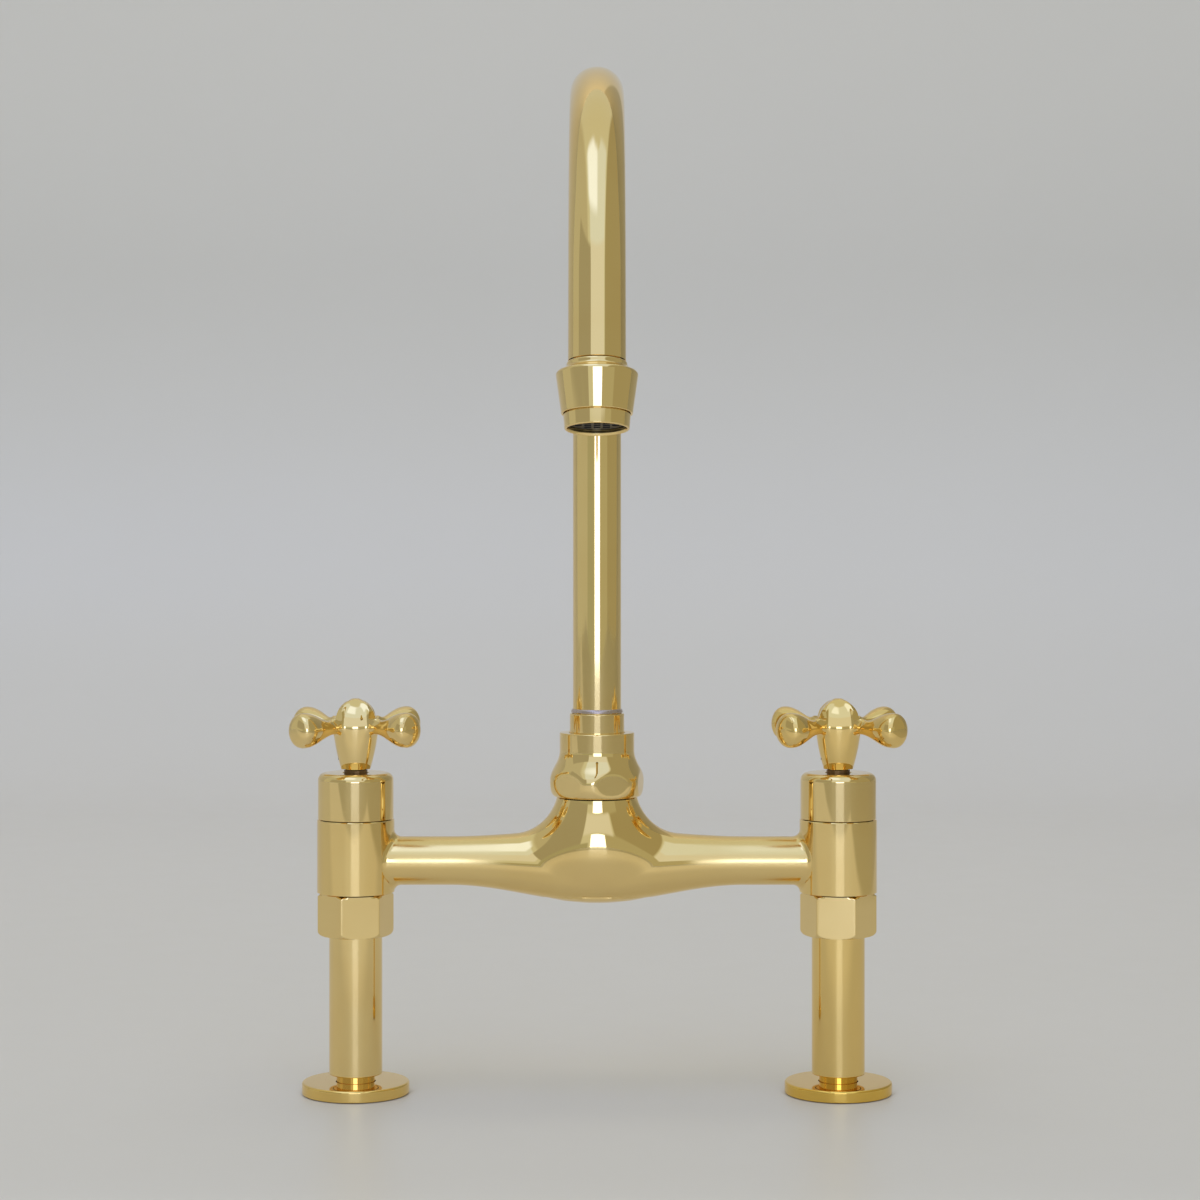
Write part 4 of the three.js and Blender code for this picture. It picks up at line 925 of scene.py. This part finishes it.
class TAP_OT_handles(bpy.types.Operator):
    """Models the cross handles and paints shade onto their spindles"""
    bl_idname = "tap.handles"
    bl_label = "Cross handles"

    def execute(self, context):
        sizes = context.scene.tap_handle
        pattern = self.pattern(sizes)
        for side, turn in (("left", sizes.left_turn), ("right", sizes.right_turn)):
            place = Matrix.Translation((LEG_PLACES[side], 0, sizes.axis)) @ Matrix.Rotation(turn, 4, "Z")
            obj = copy_of(pattern, f"handle_{side}", place)
            # The right handle gets the copy of the brass with painted shade.
            brass = {"left": "mirror_brass", "right": "right_brass_painted_shade"}[side]
            finish_piece(obj, f"{side}_handle", "polished_brass", brass, f"cross_handle_{side}")
            # The spindle gets the painted shade.
            give_material(frame["nodes"][f"spindle_{side}"], "spindle_painted_shade")
        bpy.data.objects.remove(pattern, do_unlink=True)
        return {"FINISHED"}

    @staticmethod
    def lumps(sizes):
        """Rods and balls that lie close to the handle's surface."""
        deselect()
        lumps = [
            rod(sizes.foot, (0, 0, -sizes.drop - BEYOND), (0, 0, 0)),
            ball(sizes.crown, (0, 0, 0), (1, 1, sizes.rise / sizes.crown)),
        ]
        for index in range(4):
            way = Vector((math.cos(index * math.pi / 2), math.sin(index * math.pi / 2), 0))
            lumps.append(rod(sizes.waist, (0, 0, 0), way * sizes.knob_place))
            lumps.append(ball(0.85 * sizes.knob, way * (sizes.knob_place - 1.2 * MM)))
        return lumps

    def pattern(self, sizes):
        """One handle about its own middle, with the socket for the spindle in its foot."""
        socket, socket_depth = 4.4 * MM, 12 * MM
        pattern = roughed_out("handle_pattern", self.lumps(sizes), sizes.voxel)

        def gap(points):
            return handle_gap(points, sizes)

        def is_end(points):
            return points[:, 2] < -sizes.drop - BEYOND / 2

        for _ in range(2):
            settle_skin(pattern, gap, is_end, rounds=16)
            apply_modifier(pattern, "REMESH", mode="VOXEL", voxel_size=sizes.voxel)
        settle_skin(pattern, gap, is_end, rounds=12)
        rim = cut_level(pattern, -sizes.drop, False, lambda place: place.z < -0.5 * sizes.drop, 0)
        step_face(pattern, socket / rim, socket_depth, (0, 0, -sizes.drop))
        bpy.ops.object.mode_set(mode="OBJECT")
        true_normals(pattern, gap)
        return pattern


class TAP_OT_spout_nut(bpy.types.Operator):
    """Models the bell-shaped spout nut with its spanner flats"""
    bl_idname = "tap.spout_nut"
    bl_label = "Spout nut"

    def execute(self, context):
        sizes = context.scene.tap_nuts
        base = context.scene.tap_bridge.axis
        neck, belly, foot = sizes.bell_neck, sizes.bell_belly, sizes.bell_foot
        low, high = SPOUT_NUT.low.z, SPOUT_NUT.high.z
        widest, shoulder = base + 33.4 * MM, base + 45.8 * MM
        fullness, slimness = 0.9, 0.86
        flank = []
        steps = 14
        for step in range(1, steps):
            angle = math.pi / 2 * step / steps
            radius = foot + (belly - foot) * math.sin(angle) ** fullness
            flank.append((radius, low + (widest - low) * (1 - math.cos(angle)), 0))
        for step in range(steps + 1):
            rise = step / steps
            swell = (1 + math.cos(math.pi * rise ** slimness)) / 2
            flank.append((neck + (belly - neck) * swell, widest + (shoulder - widest) * rise, 0))
        bore, hole, roof = 14 * MM, 11.6 * MM, 4.4 * MM
        corners = [
            (bore, low, 0), (foot, low, 0.2 * MM), *flank, (neck, high, 0.5 * MM), (hole, high, 0.3 * MM),
            (hole, high - roof, 0), (bore, high - roof, 0),
        ]
        obj = spun("bell_nut", corners, segments=288)
        turn = sizes.bell_turn - math.pi / 2
        press_flats(obj, sizes.bell_flats / 2, 6, turn, 0.5 * MM, low + 0.2 * MM, high)
        smooth(obj)
        finish_piece(obj, "bridge", "polished_brass", "mirror_brass", "spout_nut")
        return {"FINISHED"}


class TAP_OT_collar(bpy.types.Operator):
    """Models the swivel collar and the braze ring"""
    bl_idname = "tap.collar"
    bl_label = "Swivel collar"

    def execute(self, context):
        tube = context.scene.tap_spout.radius
        fine = 0.25 * MM
        barrel, flange = 11.3 * MM, COLLAR.half.x
        flange_top = SLIP_RING.low.z - GAP
        flange_foot = flange_top - 2.6 * MM
        low, high = COLLAR.low.z, COLLAR.high.z
        plug, bore = 10 * MM, 7 * MM
        socket, socket_foot = tube + GAP, high - 8 * MM
        corners = [
            (bore, low, fine), (plug, low, fine), (plug, flange_foot, 0), (flange, flange_foot, fine),
            (flange, flange_top, fine), (barrel, flange_top, 0), (barrel, high, 0.8 * MM),
            (socket, high, fine), (socket, socket_foot, 0), (bore, socket_foot, 0),
        ]
        obj = spun("swivel_collar", corners)
        smooth(obj)
        finish_piece(obj, "spout", "polished_brass", "mirror_brass", "spout_collar")
        low, high = BRAZE.low.z, BRAZE.high.z
        skin = tube + 0.05 * MM
        corners = [
            (skin, low, 0), (barrel - 0.5 * MM, low, 0.3 * MM),
            (skin + 0.5 * MM, low + 0.7 * (high - low), 0.5 * MM), (skin, high, 0),
        ]
        ring = spun("braze_fillet", corners)
        smooth(ring, 60)
        finish_piece(ring, "spout", "silver_braze", "grey_braze", "braze_ring")
        return {"FINISHED"}


class TAP_OT_spout(bpy.types.Operator):
    """Bends the spout tube: riser, arch and arm"""
    bl_idname = "tap.spout"
    bl_label = "Spout"

    def execute(self, context):
        sizes = context.scene.tap_spout
        arch_level = SPOUT.high.z - sizes.radius - sizes.arch
        deselect()
        bpy.ops.mesh.primitive_circle_add(vertices=96, radius=sizes.radius, location=(0, 0, SPOUT.low.z))
        obj = named("swan_neck")
        bpy.ops.object.mode_set(mode="EDIT")
        bpy.ops.mesh.select_all(action="SELECT")
        rise = arch_level - SPOUT.low.z
        for _ in range(4):
            bpy.ops.mesh.extrude_region_move(TRANSFORM_OT_translate={"value": (0, 0, rise / 4)})
        centre = Vector((0, -sizes.arch, arch_level))
        bpy.ops.mesh.spin(steps=96, angle=-sizes.sweep, center=centre, axis=(1, 0, 0))
        way = Vector((0, -math.sin(sizes.sweep), math.cos(sizes.sweep)))
        bpy.ops.mesh.extrude_region_move(TRANSFORM_OT_translate={"value": way * sizes.arm})
        bpy.ops.mesh.select_all(action="SELECT")
        bpy.ops.mesh.remove_doubles(threshold=1e-6)
        bpy.ops.mesh.normals_make_consistent(inside=False)
        bpy.ops.object.mode_set(mode="OBJECT")
        settle_place(obj)
        apply_modifier(obj, "SOLIDIFY", thickness=sizes.wall, offset=-1)
        smooth(obj)
        finish_piece(obj, "spout", "polished_brass", "spout_brass", "spout_tube")
        return {"FINISHED"}


class TAP_OT_nozzle(bpy.types.Operator):
    """Models the nozzle cone and the aerator ring under it"""
    bl_idname = "tap.nozzle"
    bl_label = "Nozzle"

    def execute(self, context):
        sizes = context.scene.tap_spout
        arch_level = SPOUT.high.z - sizes.radius - sizes.arch
        turned = Vector((0, math.cos(sizes.sweep) - 1, math.sin(sizes.sweep)))
        way = Vector((0, -math.sin(sizes.sweep), math.cos(sizes.sweep)))
        end = Vector((0, 0, arch_level)) + turned * sizes.arch + way * sizes.arm
        place = Matrix.Translation(end) @ Matrix.Rotation(sizes.sweep - math.pi, 4, "X")
        fine = 0.2 * MM
        tail = sizes.radius - sizes.wall - GAP
        bore, bead, widest, mouth, thread = tail - 1.2 * MM, 10.5 * MM, 14.3 * MM, 12.3 * MM, 11.5 * MM
        tail_top, bead_foot, cone_top, cone_foot = 7 * MM, -2.4 * MM, -4.3 * MM, -18.6 * MM
        thread_top = cone_foot + 9 * MM
        cone = [
            (bore, tail_top, fine), (tail, tail_top, fine), (tail, -GAP, 0), (bead, -GAP, 1 * MM),
            (bead, bead_foot, 1 * MM), (widest, cone_top, 1.3 * MM), (mouth, cone_foot, 0.3 * MM),
            (thread, cone_foot, fine), (thread, thread_top, 0), (bore, thread_top, 0),
        ]
        top, shoulder = cone_foot + 6.9 * MM, cone_foot - GAP
        foot = shoulder - 5 * MM
        ledge = foot + 1.6 * MM
        outer, male, chamber, lip = 11.6 * MM, 11.2 * MM, 10.6 * MM, 10.1 * MM
        ring = [
            (lip + 0.3 * MM, foot, 0.3 * MM), (outer - 0.4 * MM, foot, 0.8 * MM), (outer, shoulder, 0.2 * MM),
            (male, shoulder, 0), (male, top, 0), (chamber, top, 0), (chamber, ledge, 0),
            (lip, ledge, 0), (lip, foot + 0.8 * MM, 0.1 * MM),
        ]
        for name, corners, node in (("nozzle", cone, "nozzle_cone"), ("aerator_cap", ring, "aerator_ring")):
            obj = spun(name, corners, steps=6)
            obj.matrix_world = place
            settle_place(obj)
            smooth(obj)
            finish_piece(obj, "spout", "polished_brass", "mirror_brass", node)
        return {"FINISHED"}


# ------------------------------------------------------------------ stage
PHOTO = 1200  # width and height of the photograph, in pixels
HORIZON_ROW = 530
FOCAL_PIXELS = 2650
AXIS_COLUMN = 597
BRIDGE_ROW = 860.5
PIXELS_PER_METRE = 2412.5


class TAP_OT_stage(bpy.types.Operator):
    """Sets the floor, the backdrop, the light and the camera"""
    bl_idname = "tap.stage"
    bl_label = "Stage"

    def execute(self, context):
        self.sweep(context)
        self.room(context)
        self.lamps(context)
        self.camera(context)
        context.scene.view_settings.view_transform = "Standard"
        return {"FINISHED"}

    def sweep(self, context):
        """A floor that curves up into a backdrop."""
        half_width, front, back, bend, height = 4.5, -3.35, 1.1, 0.5, 3.0
        below = 0.2 * MM  # so that it doesn't touch the feet
        deselect()
        bpy.ops.mesh.primitive_plane_add(size=1, location=(0, (front + back) / 2, -below))
        obj = named("studio_sweep")
        obj.scale = (2 * half_width, back - front, 1)
        settle_place(obj)
        bpy.ops.object.mode_set(mode="EDIT")
        bpy.ops.mesh.select_mode(type="VERT")
        bpy.ops.mesh.select_all(action="DESELECT")
        bpy.ops.object.mode_set(mode="OBJECT")
        for vertex in obj.data.vertices:
            vertex.select = vertex.co.y > 0
        bpy.ops.object.mode_set(mode="EDIT")
        bpy.ops.mesh.spin(steps=16, angle=-math.pi / 2, center=(0, back, bend - below), axis=(1, 0, 0))
        bpy.ops.mesh.extrude_region_move(TRANSFORM_OT_translate={"value": (0, 0, height - bend)})
        bpy.ops.object.mode_set(mode="OBJECT")
        obj.data.shade_smooth()
        obj.data.materials.append(self.grey_with_painted_light(context.scene.tap_stage))

    @staticmethod
    def grey_with_painted_light(settings):
        """Grey with a painted pool of light in front of the tap, painted light higher up the backdrop and
        painted shade outside the picture.
        """
        material, tree = new_material("grey_with_painted_light", settings.floor)
        mottle = tree.noise(5, 4)
        fine = tree.noise(40, 3)
        x, y, z = tree.parts_of(tree.place())
        forward = 0 - y
        # Painted light: a pool of light is painted on the floor in front of the tap, and the backdrop is
        # painted paler higher up; the mottle is the grey's own uneven tone.
        paler = forward.between(0.13, 0.34) * 0.55 + z.between(0.1, 0.75) * 0.33 + mottle * 0.05
        darkest, painted_lit_grey = [opaque([part * level for part in settings.floor]) for level in (0.97, 1.4)]
        # Painted shade: outside the picture the floor and backdrop are painted darker and warmer.
        outside = tree.maths("MAXIMUM", x.between(0.63, 0.74), forward.between(0.9, 1.0))
        base = tree.mix(outside, tree.mix(paler, darkest, painted_lit_grey), opaque(settings.painted_shade_beyond))
        tree.surface(Base_Color=base, Roughness=0.36 + 0.08 * fine, Normal=tree.bump(fine, 0.05, 0.001))
        return material

    def room(self, context):
        """A plain room round the tap, with paler and dimmer patches that the brass mirrors."""
        world = bpy.data.worlds.new("room")
        context.scene.world = world
        tree = Tree(world)
        x, y, z = tree.parts_of(tree.add("ShaderNodeTexCoord")[0])
        degree = 180 / math.pi
        azimuth = tree.maths("ARCTAN2", x, 0 - y) * degree
        height = tree.maths("ARCSINE", z) * degree

        def patch(way, low, high, foot, top, edge=1.5):
            """1 inside a patch and 0 outside it. Its sides are angles from the front, or shares of x for
            a patch in the front half alone. Its foot, top and soft edge are in degrees."""
            soft = edge if way is azimuth else edge / degree
            across = way.between(low - soft, low + soft) * (1 - way.between(high - soft, high + soft))
            if way is x:
                across = across * (1 - y.between(-0.1, 0.02))
            below_top = 1 - height.between(top - edge, top + edge)
            return across * height.between(foot - edge, foot + edge) * below_top

        pale_left, ceiling, dim_right = (0.51, 0.53, 0.50), (0.64, 0.70, 0.72), (0.38, 0.37, 0.28)
        room = tree.mix(x.between(-0.6, -0.5), opaque(pale_left), opaque(ceiling))
        room = tree.mix(x.between(0.47, 0.53), room, opaque(dim_right))
        patches = {
            (azimuth, -80, -25, 3, 33): (0.38, 0.39, 0.36),  # a dim wall on the left
            (azimuth, -46, -14, -91, 5): (0.41, 0.44, 0.38),  # a dim strip low down, left of the middle
            (azimuth, 14, 50, -91, 14): (0.46, 0.47, 0.39),  # a dim strip low down, right of the middle
            (x, -0.40, 0.46, 13, 57): (0.75, 0.83, 1.02),  # a pale wall above the window
            (x, -0.42, 0.45, 35, 80, 2): (0.76, 0.91, 1.24),  # daylight on the ceiling
            (x, -0.47, 0.02, 50, 82, 4): (1.05, 1.30, 2.10),  # its brightest part, on the left
        }
        for place, tint in patches.items():
            room = tree.mix(patch(*place), room, opaque(tint))
        background = tree.add("ShaderNodeBackground", None, {"Color": room, "Strength": 1.0})[0]
        tree.add("ShaderNodeOutputWorld", None, {"Surface": background})

    def lamps(self, context):
        """A window that the brass mirrors, and an overhead light on the floor and backdrop."""
        settings = (
            ("window", (0.09, -3.4, 0.43), (0.09, 0, 0.43), (1.46, 0.86), 7.6, (0.85, 1.0, 1.6), True),
            ("overhead", (0, 0.3, 3.0), (0, 0.3, 0), (3.0, 3.0), 28, (1.0, 0.85, 0.6), False),
        )
        for name, place, target, size, power, tint, mirrored in settings:
            data = bpy.data.lights.new(name, "AREA")
            data.shape = "RECTANGLE"
            data.size, data.size_y = size
            data.energy = power
            data.color = tint
            lamp = bpy.data.objects.new(name, data)
            context.scene.collection.objects.link(lamp)
            lamp.location = place
            lamp.rotation_euler = (Vector(place) - Vector(target)).to_track_quat("Z", "Y").to_euler()
            lamp.visible_glossy = mirrored
            lamp.visible_camera = False

    def camera(self, context):
        """A level camera at the photograph's distance, height and field of view."""
        data = bpy.data.cameras.new("photo_camera")
        data.sensor_width = 36
        data.lens = FOCAL_PIXELS / PHOTO * data.sensor_width
        data.shift_x = (PHOTO / 2 - AXIS_COLUMN) / PHOTO
        data.shift_y = -(PHOTO / 2 - HORIZON_ROW) / PHOTO
        camera = bpy.data.objects.new("photo_camera", data)
        context.scene.collection.objects.link(camera)
        height = context.scene.tap_bridge.axis + (BRIDGE_ROW - HORIZON_ROW) / PIXELS_PER_METRE
        camera.location = (0, -FOCAL_PIXELS / PIXELS_PER_METRE, height)
        camera.rotation_euler = (math.pi / 2, 0, 0)
        context.scene.camera = camera


OPERATORS = (
    TAP_OT_finishes, TAP_OT_bridge, TAP_OT_valve_caps, TAP_OT_union_nuts, TAP_OT_legs, TAP_OT_handles,
    TAP_OT_spout_nut, TAP_OT_collar, TAP_OT_spout, TAP_OT_nozzle, TAP_OT_stage,
)
SETTINGS = {
    "tap_bridge": BridgeSizes,
    "tap_handle": HandleSizes,
    "tap_nuts": NutSizes,
    "tap_spout": SpoutSizes,
    "tap_finishes": Finishes,
    "tap_stage": StageSettings,
}


class TAP_PT_panel(bpy.types.Panel):
    """Lists the tap's pieces and their sizes"""
    bl_idname = "TAP_PT_panel"
    bl_label = "Bridge tap"
    bl_space_type = "VIEW_3D"
    bl_region_type = "UI"
    bl_category = "Tap"

    def draw(self, context):
        for operator in OPERATORS:
            self.layout.operator(operator.bl_idname)
        for name, group in SETTINGS.items():
            box = self.layout.box()
            box.label(text=group.__name__)
            for key in group.__annotations__:
                box.prop(getattr(context.scene, name), key)


def register():
    for name, group in SETTINGS.items():
        bpy.utils.register_class(group)
        setattr(bpy.types.Scene, name, PointerProperty(type=group))
    for operator in OPERATORS:
        bpy.utils.register_class(operator)
    bpy.utils.register_class(TAP_PT_panel)


def unregister():
    bpy.utils.unregister_class(TAP_PT_panel)
    for operator in reversed(OPERATORS):
        bpy.utils.unregister_class(operator)
    for name, group in SETTINGS.items():
        delattr(bpy.types.Scene, name)
        bpy.utils.unregister_class(group)


def main():
    register()
    for operator in OPERATORS:
        area, name = operator.bl_idname.split(".")
        getattr(getattr(bpy.ops, area), name)()


if __name__ == "__main__":
    main()
